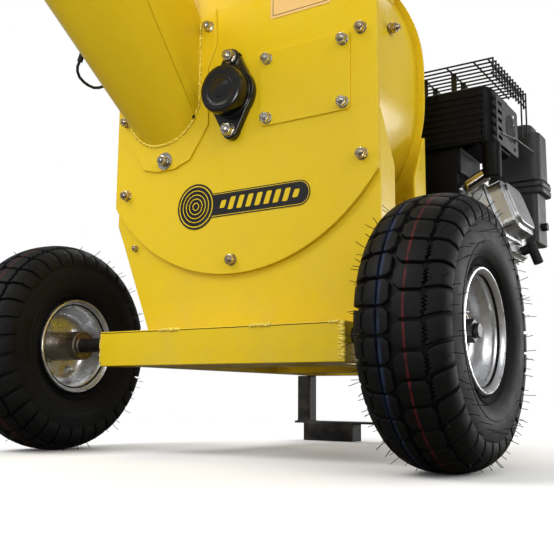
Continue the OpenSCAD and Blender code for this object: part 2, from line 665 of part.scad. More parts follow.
// ---- engine ----
module along_cylinder() {
  translate([engine_x, 0, crank_z]) rotate([0, -tilt, 0]) children();
}
cyl_front = engine_front + 40;
cyl_back = engine_front + 180;
case_end = 92;                                  // along the cylinder, where the crankcase ends
head_start = 170;
cover_start = 226;
cover_end = 266;
module crankcase() color(black) difference() {
  union() {
    y_plate(case_front, case_back)
      round_rect(engine_x - 92, engine_x + 100, engine_foot + 8, crank_z + 84, 26);
    y_rod(engine_x, crank_z, engine_front, case_front + 1, 60);
    box(engine_x - 100, engine_x + 100, case_front + 30, case_back - 8, engine_foot, engine_foot + 12);
    for (x = [engine_x - 70, engine_x - 10])
      box(x, x + 22, case_front + 60, case_front + 100, crank_z + 80, tank_top - tank_h);
  }
  y_rod(engine_x, crank_z, engine_front - 1, case_back + 1, 12.7 + fit_gap);
  along_cylinder() box(case_end, 300, case_front - 1, case_back + 1, -200, 200);
  for (x = [-81, 81], y = [60, 165]) translate([engine_x + x, engine_front + y, engine_foot - 1]) {
    cylinder(r = engine_stud_r + bolt_gap, h = 14);
    translate([0, 0, 13]) cylinder(r = 12, h = 24);
  }
}
module cylinder_block() color(alloy) along_cylinder() {
  box(case_end + 0.1, head_start, cyl_front + 14, cyl_back - 14, -58, 58);
  for (d = [case_end + 8:9:head_start - 8]) box(d, d + 3, cyl_front, cyl_back, -72, 72);
  box(head_start, cover_start, cyl_front + 4, cyl_back - 4, -66, 66);
  for (d = [head_start + 6:9:cover_start - 8]) box(d, d + 3, cyl_front - 4, cyl_back + 4, -68, 74);
}
module valve_cover() color(alloy) along_cylinder() translate([cover_start + 0.05, 0, 0]) {
  rotate([90, 0, 90]) {
    linear_extrude(5) round_rect(cyl_front + 4, cyl_back - 14, -44, 66, 14);
    linear_extrude(cover_end - cover_start - 8) round_rect(cyl_front + 9, cyl_back - 20, -38, 61, 22);
    linear_extrude(cover_end - cover_start) round_rect(cyl_front + 17, cyl_back - 28, -30, 53, 20);
  }
}
muffler_x = [engine_x + 35, engine_x + 224];
muffler_y = [engine_front + 6, engine_front + 140];
muffler_z = [engine_foot + 335, engine_foot + 440];
pipe_x = [engine_x + 178, engine_x + 220];      // the pipe's two ends, rising to the right
pipe_z = [crank_z + 131, crank_z + 152];
pipe_y = engine_front + 22;
pipe_r = 12;
module short_pipe(r, back) {
  rise = pipe_z[1] - pipe_z[0];
  run = pipe_x[1] - pipe_x[0];
  translate([pipe_x[0], pipe_y, pipe_z[0]]) rotate([0, 90 - atan2(rise, run), 0])
    cylinder(r = r, h = norm([rise, run]) - back);
}
module muffler() color(black) {
  translate([0, 0, muffler_z[0]]) linear_extrude(muffler_z[1] - muffler_z[0])
    round_rect(muffler_x[0], muffler_x[1], muffler_y[0], muffler_y[1], 24);
  // chamber and sheet between the muffler and the cylinder
  box(muffler_x[0] + 5, pipe_x[0] - 14, muffler_y[0] + 12, muffler_y[1] - 10,
      muffler_z[0] - 46, muffler_z[0] + 1);
  box(muffler_x[0] + 5, pipe_x[0] - 20, muffler_y[0] + 12, muffler_y[0] + 16,
      crank_z + 94, muffler_z[0] - 45);
  difference() {
    translate([pipe_x[1], pipe_y, pipe_z[1] - 14]) cylinder(r = 17, h = muffler_z[0] - pipe_z[1] + 15);
    short_pipe(pipe_r + 0.1, 10);
  }
}
module heat_shield() color(black) difference() {
  x = muffler_x[1] + 5;
  union() {
    x_plate(x, x + 1.5)
      round_rect(muffler_y[0] + 20, muffler_y[1] + 14, muffler_z[0] + 4, muffler_z[1] - 12, 6);
    for (z = [muffler_z[0] + 16, muffler_z[1] - 22]) x_rod(muffler_y[1] - 36, z, muffler_x[1], x + 1, 4);
  }
  for (k = [0:4], side = [0, 1])
    translate([x - 1, muffler_y[0] + 27 + side * 92, muffler_z[0] + 12 + k * 16])
      cube([4, 24 - side * 12, 7]);
  translate([x - 1, muffler_y[0] + 88, muffler_z[0] + 50]) rotate([0, 90, 0]) cylinder(r = 15, h = 4);
}
guard_x = [engine_x + 20, engine_x + 225];
guard_y = [engine_front + 32, engine_front + 240];
guard_z = engine_foot + 498;
wire_r = 1.7;
module wire_x(y, z, x0, x1) {
  translate([x0, y, z]) rotate([0, 90, 0]) rotate(22.5) cylinder(r = wire_r, h = x1 - x0, $fn = 8);
}
module wire_y(x, z, y0, y1) {
  translate([x, y0, z]) rotate([-90, 0, 0]) rotate(22.5) cylinder(r = wire_r, h = y1 - y0, $fn = 8);
}
module muffler_guard() color(black) {
  n = 13;
  pitch = (guard_y[1] - guard_y[0]) / (n - 1);
  for (k = [0:n - 1]) {
    y = guard_y[0] + k * pitch;
    long = (k == n - 1 || k == n - 3) ? 104 : 38;
    wire_x(y, guard_z, guard_x[0], guard_x[1]);
    translate([guard_x[1], y, guard_z - long]) rotate(22.5) cylinder(r = wire_r, h = long + 1.2, $fn = 8);
  }
  for (x = [guard_x[0] + 6, guard_x[0] + 60, guard_x[0] + 118, guard_x[0] + 170, guard_x[1] - 8])
    wire_y(x, guard_z - 2.4, guard_y[0] - 3, guard_y[1] + 3);
  for (drop = [15, 28]) wire_y(guard_x[1] - 2.4, guard_z - drop, guard_y[0] - 3, guard_y[1] + 3);
  for (x = [guard_x[0] + 60, guard_x[0] + 118], y = [guard_y[0] + 2 * pitch, guard_y[0] + 5 * pitch])
    box(x - 5, x + 5, y - 1.5, y + 1.5, muffler_z[1], guard_z - 1.5);
}
module exhaust_pipe() color(zinc) {
  // Out of the front of the cylinder head, then up to the right into the muffler's elbow.
  short_pipe(pipe_r, 10);
  translate([pipe_x[0], pipe_y, pipe_z[0]]) sphere(r = pipe_r);
  y_rod(pipe_x[0], pipe_z[0], pipe_y, cyl_front - 4, pipe_r);
}
air_x = [engine_x + 130, engine_x + 249];
air_y = [case_back + 52, case_back + 134];
air_split = engine_foot + 306;
air_top = 136;                                  // height of the cover above the split
module air_cleaner_base() color(black) {
  low = engine_foot + 192;
  translate([0, 0, low]) linear_extrude(air_split - low)
    round_rect(air_x[0] + 8, air_x[1] - 12, air_y[0] + 4, air_y[1] - 4, 12);
  translate([0, 0, air_split - 12]) linear_extrude(12) round_rect(air_x[0], air_x[1], air_y[0], air_y[1], 16);
}
module air_cleaner_cover() color(black) translate([0, 0, air_split]) {
  linear_extrude(14) round_rect(air_x[0], air_x[1], air_y[0], air_y[1], 16);
  linear_extrude(air_top - 20) round_rect(air_x[0] + 4, air_x[1] - 5, air_y[0] + 3, air_y[1] - 3, 20);
  linear_extrude(air_top) round_rect(air_x[0] + 12, air_x[1] - 22, air_y[0] + 11, air_y[1] - 11, 18);
}
module air_cleaner_knob() color(black)
  x_rod(air_y[1] - 46, engine_foot + 228, air_x[1] - 12, air_x[1] - 1, 8);
module carburettor() color(alloy) {
  // Between the rear of the cylinder head and the air cleaner.
  x = engine_x + 190;
  y_rod(x, crank_z + 72, cyl_back + 4, cyl_back + 30, 20);
  box(x - 24, x + 24, cyl_back + 12, air_y[0] + 4, crank_z + 30, crank_z + 96);
}
tank_x = [engine_x - 185, engine_x + 22];
tank_y = [engine_front + 30, fan_back - 8];
module fuel_tank() color(black) {
  z = tank_top - tank_h;
  for (s = [[0, 0, tank_h - 14], [8, tank_h - 15, 15]])
    translate([0, 0, z + s[1]]) linear_extrude(s[2])
      round_rect(tank_x[0] + s[0], tank_x[1] - s[0], tank_y[0] + s[0], tank_y[1] - s[0], 24);
  translate([engine_x - 90, case_front + 118, tank_top - 1]) cylinder(r = 21, h = 7);
}
module fuel_cap() color(black) translate([engine_x - 90, case_front + 118, tank_top + 6 + run_gap]) {
  cylinder(r = 27, h = 16);
  for (a = [0:30:330]) rotate(a) translate([26, -3, 0]) cube([3.5, 6, 14]);
}
fan_r = 138;
throttle_x = engine_x + 74;
switch_x = engine_x - 118;
switch_y = fan_back + 5;
switch_z = crank_z + 92;
switch_pin_r = 2.5;
module fan_cover() color(black) {
  difference() {
    union() {
      y_rod(engine_x, crank_z, case_back + 0.1, fan_back, fan_r - 6);
      box(engine_x, engine_x + fan_r - 4, case_back + 0.1, case_back + 20, crank_z, crank_z + 124);
      box(engine_x - 110, engine_x - 70, case_back + 0.1, case_back + 44, crank_z, tank_top - tank_h);
    }
    y_rod(engine_x, crank_z, case_back - 1, fan_back - 4, fan_r - 12);
    for (a = [0:30:330]) translate([engine_x, 0, crank_z]) rotate([0, a, 0])
      box(30, 70, fan_back - 5, fan_back + 1, -5, 5);
  }
  for (s = [-1, 1]) translate([switch_x + s * 12, 0, 0]) difference() {
    box(-1.7, 1.7, fan_back - 12, fan_back + 13, switch_z - 8, switch_z + 8);
    x_rod(switch_y, switch_z, -2, 2, switch_pin_r + fit_gap);
  }
  box(engine_x - 132, engine_x - 104, fan_back - 34, fan_back - 12, crank_z + 78, crank_z + 106);
  y_rod(throttle_x, crank_z + 88, fan_back - 1, fan_back + 10, 4);
}
module engine_switch() color([0.7, 0.1, 0.08]) translate([switch_x, 0, 0]) {
  box(-10, 10, switch_y - 4, switch_y + 4, switch_z - 12, switch_z + 12);
  x_rod(switch_y, switch_z, -13.5, 13.5, switch_pin_r);
}
module throttle_lever() color(black) difference() {
  union() {
    y_rod(throttle_x, crank_z + 88, fan_back + run_gap, fan_back + 4, 11);
    box(throttle_x - 6, throttle_x + 6, fan_back + run_gap, fan_back + 4, crank_z + 88, crank_z + 146);
    y_rod(throttle_x, crank_z + 146, fan_back + run_gap, fan_back + 10, 9);
  }
  y_rod(throttle_x, crank_z + 88, fan_back - 1, fan_back + 11, 4 + fit_gap);
}
module recoil_cover() color(black) {
  difference() {
    union() {
      y_rod(engine_x, crank_z, fan_back + 0.1, recoil_back - 8, 96);
      y_rod(engine_x, crank_z, recoil_back - 9, recoil_back, 46);
      box(engine_x - 112, engine_x - 60, fan_back + 8, fan_back + 30, crank_z - 66, crank_z - 40);
    }
    y_rod(engine_x, crank_z, fan_back - 1, recoil_back - 12, 91);
    for (a = [0:20:340]) translate([engine_x, 0, crank_z]) rotate([0, a, 0])
      box(54, 84, recoil_back - 14, recoil_back - 7, -4, 4);
    x_rod(fan_back + 19, crank_z - 53, engine_x - 113, engine_x - 50, 4);
  }
}
module starter_grip() color(black) translate([engine_x - 112 - run_gap, fan_back + 19, crank_z - 53]) {
  rotate([0, -90, 0]) cylinder(r = 7, h = 18);
  rotate([0, -90, 0]) translate([0, 0, 17]) rotate([90, 0, 0])
    translate([0, 0, -14]) linear_extrude(28) round_rect(-36, 36, 0, 22, 8);
}
module spark_plug_boot() color(black) along_cylinder() translate([cover_start, cyl_back - 30, -56]) {
  rotate([0, 90, 0]) cylinder(r = 9, h = 14);
  translate([20, 0, 0]) rotate([180, 0, 0]) translate([0, 0, -9]) cylinder(r = 9, h = 42);
}
module crankshaft() color(steel) y_rod(engine_x, crank_z, pulley_front - 2, case_back + 60, 12.7);

// ---- switch lead on the left of the chute ----
cable_path = [[-290, -62, 703], [-297, -60, 696], [-301, -56, 688], [-303, -48, 680], [-302, -38, 674],
              [-301, -27, 671], [-301, -14, 671], [-302, 0, 676], [-301, 12, 683], [-297, 22, 690],
              [-290, 38, 696], [-280, 54, 699], [-270, 66, 700], [-259, 72, 700]];
cable_r = 2.75;
switch_box_z = 726;
module switch_cable() color(black) {
  swept_cord(cable_path, cable_r);
  swept_cord([[-272, -66, 732], [-290, -62, 702]], 5, 16);
  box(-276, -feed_x - feed_r - chute_flare * 0.378, -86, -50, switch_box_z, switch_box_z + 42);
  translate([-shell_r - 0.1, 72, 700]) rotate([0, -90, 0]) difference() {
    cylinder(r = 9, h = 2.9);
    translate([0, 0, -1]) cylinder(r = cable_r + 0.1, h = 6);
  }
}

// ---- assembly ----
module placed() translate([0, y_shift, 0]) children();
placed() base_frame();
placed() axle_beam();
placed() axle();
placed() wheel_nuts();
placed() left_tyre();
placed() left_rim();
placed() left_hub();
placed() right_tyre();
placed() right_rim();
placed() right_hub();
placed() front_upright();
placed() rear_upright();
placed() rear_stand();
placed() housing_shell();
placed() front_plate();
placed() rear_plate();
placed() inspection_cover();
placed() cover_bolts();
placed() housing_bolts();
placed() front_bearing_housing();
placed() bearing_cap();
placed() rear_bearing_housing();
placed() mounting_bolts();
placed() anvil();
placed() chute_flange();
placed() feed_chute();
placed() hopper_mouth();
placed() chute_bolts();
placed() discharge_neck();
placed() labels();
placed() belt_guard();
placed() v_belts();
placed() crankcase();
placed() cylinder_block();  // cylinder
placed() valve_cover();
placed() muffler();
placed() heat_shield();
placed() muffler_guard();
placed() exhaust_pipe();
placed() carburettor();
placed() air_cleaner_base();
placed() air_cleaner_cover();
placed() air_cleaner_knob();
placed() fuel_tank();
placed() fuel_cap();
placed() fan_cover();
placed() recoil_cover();
placed() starter_grip();
placed() engine_switch();
placed() throttle_lever();
placed() spark_plug_boot();
placed() crankshaft();
placed() engine_pulley();
placed() rotor_shaft();
placed() flywheel();
placed() knives();
placed() rotor_pulley();
placed() discharge_chute();
placed() deflector();
placed() switch_cable();
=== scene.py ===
import math
import random
import bmesh
import bpy
from mathutils import Matrix, Vector


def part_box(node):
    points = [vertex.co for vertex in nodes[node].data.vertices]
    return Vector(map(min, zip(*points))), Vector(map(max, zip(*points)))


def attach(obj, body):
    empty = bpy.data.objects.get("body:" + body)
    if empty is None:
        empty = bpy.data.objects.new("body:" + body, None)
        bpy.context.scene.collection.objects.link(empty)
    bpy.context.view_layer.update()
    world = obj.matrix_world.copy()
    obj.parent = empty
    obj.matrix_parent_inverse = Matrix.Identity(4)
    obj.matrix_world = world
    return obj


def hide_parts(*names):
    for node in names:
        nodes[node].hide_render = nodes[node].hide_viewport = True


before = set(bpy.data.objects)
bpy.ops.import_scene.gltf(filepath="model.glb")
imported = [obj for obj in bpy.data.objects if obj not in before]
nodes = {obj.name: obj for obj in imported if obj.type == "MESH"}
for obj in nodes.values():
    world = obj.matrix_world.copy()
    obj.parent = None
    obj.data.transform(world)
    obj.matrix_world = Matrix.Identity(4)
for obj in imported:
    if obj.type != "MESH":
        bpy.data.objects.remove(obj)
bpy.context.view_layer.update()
machine = "machine"
up = Vector((0, 0, 1))


eye = {"place": (0.7758, -1.1236, 0.0985), "yaw": 32.8, "pitch": 8.45, "roll": 0.45, "lens": 52.37}

def buildCamera():
    yaw, pitch, roll = (math.radians(eye[k]) for k in ("yaw", "pitch", "roll"))
    ahead = Vector((-math.sin(yaw) * math.cos(pitch), math.cos(yaw) * math.cos(pitch), math.sin(pitch)))
    right = Vector((math.cos(yaw), math.sin(yaw), 0))
    top = right.cross(ahead)
    right, top = (right * math.cos(roll) + top * math.sin(roll), top * math.cos(roll) - right * math.sin(roll))
    data = bpy.data.cameras.new("camera")
    data.lens = eye["lens"]
    data.sensor_width = 36
    data.clip_start = 0.02
    camera = bpy.data.objects.new("camera", data)
    camera.matrix_world = Matrix.Translation(eye["place"]) @ Matrix((right, top, -ahead)).transposed().to_4x4()
    bpy.context.scene.collection.objects.link(camera)
    bpy.context.scene.camera = camera

# Name, place, what it aims at, size, power and spread of each lamp.
lamps = [
    ("keyLight", (-1.5, -2.4, 3.1), (0, -0.1, 0.6), 1.7, 78, 180),
    ("fillLight", (2.8, -1.2, 1.7), (0.1, 0, 0.4), 1.7, 27, 180),
    ("backLight", (-0.9, 2.7, 2.6), (0, 0.2, 0.6), 1.6, 36, 180),
    ("lowLight", (0.5, -2.4, 0.2), (-0.25, -0.3, 1.05), 1.0, 9, 70),
    ("rimLight", (1.9, 2.2, 0.5), (0.42, 0, 0.19), 1.1, 8, 90),
]

def buildStudio():
    for name, place, aim, size, power, spread in lamps:
        data = bpy.data.lights.new(name, "AREA")
        data.size = size
        data.energy = power
        data.spread = math.radians(spread)
        light = bpy.data.objects.new(name, data)
        light.location = place
        light.rotation_euler = (Vector(aim) - Vector(place)).to_track_quat("-Z", "Y").to_euler()
        bpy.context.scene.collection.objects.link(light)
    world = bpy.data.worlds.new("studio")
    bpy.context.scene.world = world
    world.use_nodes = True
    tree = world.node_tree
    tree.nodes.clear()
    path = tree.nodes.new("ShaderNodeLightPath")
    seen = addNode(tree, "ShaderNodeBackground", {"Color": (1, 1, 1, 1), "Strength": 1.0})
    glow = addNode(tree, "ShaderNodeBackground", {"Color": (1, 0.99, 0.97, 1), "Strength": 0.78})
    mirrored = addNode(tree, "ShaderNodeBackground", {"Color": (1, 1, 1, 1), "Strength": 0.35})
    inner = addNode(tree, "ShaderNodeMixShader", {0: path.outputs["Is Glossy Ray"], 1: glow.outputs[0],
                                                  2: mirrored.outputs[0]})
    mix = addNode(tree, "ShaderNodeMixShader", {0: path.outputs["Is Camera Ray"], 1: inner.outputs[0],
                                                2: seen.outputs[0]})
    addNode(tree, "ShaderNodeOutputWorld", {"Surface": mix.outputs[0]})
    bpy.context.scene.view_settings.view_transform = "Standard"

def buildFloor():
    bm = bmesh.new()
    bmesh.ops.create_grid(bm, x_segments=1, y_segments=1, size=14)
    floor = makePiece("floor", bm, None, "floorPale")


def addNode(tree, kind, inputs=None, **settings):
    node = tree.nodes.new(kind)
    for key, value in settings.items():
        setattr(node, key, value)
    for key, value in (inputs or {}).items():
        if isinstance(value, bpy.types.NodeSocket):
            tree.links.new(value, node.inputs[key])
        else:
            node.inputs[key].default_value = value
    return node

def startGroup(name, inputs, outputs):
    group = bpy.data.node_groups.new(name, "ShaderNodeTree")
    kinds = {"v": "NodeSocketVector", "c": "NodeSocketColor", "f": "NodeSocketFloat"}
    for label, kind in inputs:
        group.interface.new_socket(name=label, in_out="INPUT", socket_type=kinds[kind])
    for label, kind in outputs:
        group.interface.new_socket(name=label, in_out="OUTPUT", socket_type=kinds[kind])
    return group, group.nodes.new("NodeGroupInput"), group.nodes.new("NodeGroupOutput")

def mixColours(tree, factor, first, second, blend="MIX"):
    node = tree.nodes.new("ShaderNodeMix")
    node.data_type = "RGBA"
    node.blend_type = blend
    for socket, value in ((node.inputs[0], factor), (node.inputs[6], first), (node.inputs[7], second)):
        if isinstance(value, bpy.types.NodeSocket):
            tree.links.new(value, socket)
        else:
            socket.default_value = value
    return node.outputs[2]

def ramp(tree, value, low, high, out=(0.0, 1.0)):
    node = addNode(tree, "ShaderNodeMapRange", {"Value": value, "From Min": low, "From Max": high,
                                                "To Min": out[0], "To Max": out[1]})
    return node.outputs[0]

def combine(tree, operation, first, second):
    return addNode(tree, "ShaderNodeMath", {0: first, 1: second}, operation=operation).outputs[0]

def noise(tree, vector, scale, detail=3.0, roughness=0.5):
    return addNode(tree, "ShaderNodeTexNoise", {"Vector": vector, "Scale": scale, "Detail": detail,
                                                "Roughness": roughness}).outputs["Fac"]

def buildPaintGroup():
    # Sprayed coating: slow colour drift, fine pinholes, orange peel and a little dust near the ground.
    group, ins, outs = startGroup("sprayedCoat", [("Vector", "v"), ("Base", "c"), ("Deep", "c"), ("Dust", "c"),
                                                  ("Peel", "f"), ("Shine", "f")],
                                  [("Color", "c"), ("Roughness", "f"), ("Normal", "v")])
    place = ins.outputs["Vector"]
    drift = ramp(group, noise(group, place, 3.1, 4.0), 0.3, 0.7)
    colour = mixColours(group, combine(group, "MULTIPLY", drift, 0.5), ins.outputs["Base"], ins.outputs["Deep"])
    specks = ramp(group, noise(group, place, 420.0, 1.0), 0.70, 0.76, (0.0, 0.35))
    colour = mixColours(group, specks, colour, ins.outputs["Deep"])
    height = addNode(group, "ShaderNodeSeparateXYZ", {0: place}).outputs[2]
    low = ramp(group, height, 0.45, 0.1)
    smudge = ramp(group, noise(group, place, 14.0, 6.0, 0.65), 0.45, 0.8)
    dust = combine(group, "MULTIPLY", combine(group, "MULTIPLY", low, smudge), 0.22)
    group.links.new(mixColours(group, dust, colour, ins.outputs["Dust"]), outs.inputs["Color"])
    gloss = combine(group, "MULTIPLY", ramp(group, noise(group, place, 26.0, 5.0), 0.3, 0.75, (0.75, 1.35)),
                    ins.outputs["Shine"])
    group.links.new(combine(group, "ADD", gloss, combine(group, "MULTIPLY", dust, 1.2)), outs.inputs["Roughness"])
    peel = combine(group, "MULTIPLY", noise(group, place, 260.0, 2.0), ins.outputs["Peel"])
    dents = combine(group, "MULTIPLY", noise(group, place, 9.0, 2.0), 0.004)
    bump = addNode(group, "ShaderNodeBump", {"Strength": 0.6, "Distance": 0.4,
                                             "Height": combine(group, "ADD", peel, dents)})
    group.links.new(bump.outputs[0], outs.inputs["Normal"])
    return group

def buildMetalGroup():
    # Plated or bare metal: clouded tint, fine scratches and uneven shine.
    group, ins, outs = startGroup("workedMetal", [("Vector", "v"), ("Base", "c"), ("Tint", "c"), ("Grain", "f"),
                                                  ("Shine", "f"), ("Relief", "f")],
                                  [("Color", "c"), ("Roughness", "f"), ("Normal", "v")])
    place = ins.outputs["Vector"]
    cloud = ramp(group, noise(group, place, 38.0, 5.0, 0.6), 0.35, 0.7)
    group.links.new(mixColours(group, cloud, ins.outputs["Base"], ins.outputs["Tint"]), outs.inputs["Color"])
    grain = addNode(group, "ShaderNodeTexNoise", {"Vector": place, "Scale": ins.outputs["Grain"], "Detail": 4.0})
    uneven = combine(group, "MULTIPLY", ramp(group, grain.outputs["Fac"], 0.3, 0.7, (0.65, 1.45)), ins.outputs["Shine"])
    group.links.new(uneven, outs.inputs["Roughness"])
    height = combine(group, "MULTIPLY", grain.outputs["Fac"], ins.outputs["Relief"])
    bump = addNode(group, "ShaderNodeBump", {"Strength": 0.5, "Distance": 0.3, "Height": height})
    group.links.new(bump.outputs[0], outs.inputs["Normal"])
    return group

def buildMouldedGroup():
    # Moulded rubber or plastic: fine grain, bloom and dust in patches.
    group, ins, outs = startGroup("mouldedSkin", [("Vector", "v"), ("Base", "c"), ("Bloom", "c"), ("Grain", "f"),
                                                  ("Shine", "f"), ("Relief", "f")],
                                  [("Color", "c"), ("Roughness", "f"), ("Normal", "v")])
    place = ins.outputs["Vector"]
    patch = ramp(group, noise(group, place, 17.0, 6.0, 0.62), 0.38, 0.72)
    fine = noise(group, place, 900.0, 1.0)
    group.links.new(mixColours(group, combine(group, "MULTIPLY", patch, ramp(group, fine, 0.3, 0.7, (0.35, 1.0))),
                               ins.outputs["Base"], ins.outputs["Bloom"]), outs.inputs["Color"])
    group.links.new(combine(group, "MULTIPLY", ramp(group, patch, 0.0, 1.0, (0.85, 1.2)), ins.outputs["Shine"]),
                    outs.inputs["Roughness"])
    cells = addNode(group, "ShaderNodeTexVoronoi", {"Vector": place, "Scale": ins.outputs["Grain"]})
    height = combine(group, "MULTIPLY", combine(group, "ADD", cells.outputs["Distance"], fine), ins.outputs["Relief"])
    bump = addNode(group, "ShaderNodeBump", {"Strength": 0.5, "Distance": 0.2, "Height": height})
    group.links.new(bump.outputs[0], outs.inputs["Normal"])
    return group

# Colour, colour where it is thin, orange peel, shine, clear coat and reflectance.
coats = {
    "chipperYellow": ((0.73, 0.515, 0.012), (0.66, 0.445, 0.008), 0.0008, 0.32, 0.10, 0.25),
    # Weld yellow: lighter than the sheet's yellow, a painted highlight for the gloss on the beads.
    "weldYellow": ((0.80, 0.62, 0.07), (0.74, 0.54, 0.03), 0.0004, 0.22, 0.35, 0.5),
    "gapShadow": ((0.035, 0.022, 0.003), (0.02, 0.012, 0.002), 0.0004, 0.7, 0.0, 0.1),
    "shieldGrey": ((0.030, 0.030, 0.032), (0.022, 0.022, 0.023), 0.002, 0.45, 0.0, 0.4),
    "satinBlack": ((0.007, 0.007, 0.008), (0.005, 0.005, 0.006), 0.0016, 0.40, 0.05, 0.35),
    "glossBlack": ((0.005, 0.005, 0.006), (0.004, 0.004, 0.005), 0.0007, 0.20, 0.25, 0.4),
    "heatBlack": ((0.0025, 0.0025, 0.0025), (0.004, 0.0035, 0.0035), 0.003, 0.45, 0.0, 0.12),
    "tagOrange": ((0.80, 0.52, 0.20), (0.74, 0.46, 0.16), 0.0004, 0.35, 0.1, 0.3),
    "switchRed": ((0.45, 0.02, 0.015), (0.33, 0.012, 0.010), 0.0006, 0.28, 0.2, 0.5),
}

# Colour, tint of the clouding, size of the grain, shine and relief.
metals = {
    "zincBright": ((0.62, 0.60, 0.56), (0.50, 0.46, 0.38), 300.0, 0.24, 0.0012),
    "zincRim": ((0.80, 0.81, 0.83), (0.70, 0.71, 0.73), 90.0, 0.33, 0.0004),
    "zincGold": ((0.60, 0.50, 0.30), (0.42, 0.35, 0.28), 260.0, 0.28, 0.0012),
    "castAlloy": ((0.60, 0.61, 0.62), (0.50, 0.51, 0.52), 420.0, 0.46, 0.006),
    "polishedAlloy": ((0.60, 0.61, 0.62), (0.46, 0.47, 0.48), 500.0, 0.34, 0.0015),
    "hubSteel": ((0.30, 0.26, 0.21), (0.20, 0.17, 0.14), 120.0, 0.36, 0.001),
    "groundSteel": ((0.42, 0.42, 0.43), (0.28, 0.27, 0.26), 240.0, 0.33, 0.002),
    "darkSteel": ((0.10, 0.10, 0.105), (0.055, 0.052, 0.05), 240.0, 0.38, 0.002),
    "pipeChrome": ((0.66, 0.62, 0.56), (0.42, 0.36, 0.29), 90.0, 0.13, 0.0006),
}

# Colour, bloom, size of the grain, shine, relief and reflectance.
skins = {
    "tyreRubber": ((0.0042, 0.0042, 0.0043), (0.0095, 0.0092, 0.0090), 1500.0, 0.60, 0.0012, 0.16),
    "softRubber": ((0.006, 0.006, 0.006), (0.010, 0.010, 0.010), 1300.0, 0.50, 0.0008, 0.3),
    "grainPlastic": ((0.022, 0.023, 0.025), (0.030, 0.031, 0.033), 1100.0, 0.45, 0.0014, 0.4),
    "smoothPlastic": ((0.008, 0.008, 0.009), (0.012, 0.012, 0.013), 1600.0, 0.30, 0.0005, 0.4),
}

# What the rows above fill, in their order, and what every finish of a kind shares.
sockets = {
    "coat": ("Base", "Deep", "Peel", "Shine", "Coat Weight", "Specular IOR Level"),
    "metal": ("Base", "Tint", "Grain", "Shine", "Relief"),
    "skin": ("Base", "Bloom", "Grain", "Shine", "Relief", "Specular IOR Level"),
}
shared = {"coat": {"Dust": (0.33, 0.29, 0.22), "Coat Roughness": 0.12}, "metal": {"Metallic": 1.0}, "skin": {}}
groups = {}

def newMaterial(name):
    material = bpy.data.materials.new(name)
    material.use_nodes = True
    tree = material.node_tree
    tree.nodes.clear()
    place = tree.nodes.new("ShaderNodeTexCoord").outputs["Object"]
    shader = tree.nodes.new("ShaderNodeBsdfPrincipled")
    addNode(tree, "ShaderNodeOutputMaterial", {"Surface": shader.outputs[0]})
    return tree, place, shader

def buildFinish(name, kind, row):
    tree, place, shader = newMaterial(name)
    group = addNode(tree, "ShaderNodeGroup", node_tree=groups[kind])
    tree.links.new(place, group.inputs["Vector"])
    for key, value in [*zip(sockets[kind], row), *shared[kind].items()]:
        owner = group if key in group.inputs else shader
        owner.inputs[key].default_value = (*value, 1.0) if isinstance(value, tuple) else value
    for key, target in (("Color", "Base Color"), ("Roughness", "Roughness"), ("Normal", "Normal")):
        tree.links.new(group.outputs[key], shader.inputs[target])
    return tree, place, shader, group

def buildMaterials():
    groups.update(coat=buildPaintGroup(), metal=buildMetalGroup(), skin=buildMouldedGroup())
    for kind, rows in (("coat", coats), ("metal", metals), ("skin", skins)):
        for name, row in rows.items():
            buildFinish(name, kind, row)
    buildFloorMaterial()

def buildFloorMaterial():
    # Pale near the machine, fading into the white backdrop; it throws little light back up at the machine.
    tree, place, shader = newMaterial("floorPale")
    grey = ramp(tree, noise(tree, place, 1.5, 3.0), 0.3, 0.7)
    path = tree.nodes.new("ShaderNodeLightPath")
    seen = mixColours(tree, grey, (0.98, 0.98, 0.98, 1), (0.96, 0.96, 0.96, 1))
    colour = mixColours(tree, path.outputs["Is Camera Ray"], (0.13, 0.12, 0.10, 1), seen)
    tree.links.new(colour, shader.inputs["Base Color"])
    shader.inputs["Roughness"].default_value = 0.9
    shader.inputs["Specular IOR Level"].default_value = 0.1
    reach = addNode(tree, "ShaderNodeVectorMath", {0: place}, operation="LENGTH").outputs["Value"]
    far = combine(tree, "MULTIPLY", ramp(tree, reach, 0.55, 1.7), path.outputs["Is Camera Ray"])
    white = addNode(tree, "ShaderNodeEmission", {"Color": (1, 1, 1, 1), "Strength": 1.0})
    mix = addNode(tree, "ShaderNodeMixShader", {0: far, 1: shader.outputs[0], 2: white.outputs[0]})
    end = next(n for n in tree.nodes if n.type == "OUTPUT_MATERIAL")
    tree.links.new(mix.outputs[0], end.inputs["Surface"])

# Lines painted round the tread: place across it, colour and half width.
treadLines = [(0.0165, (0.085, 0.009, 0.011, 1), 0.0014), (-0.0175, (0.016, 0.027, 0.060, 1), 0.0040)]

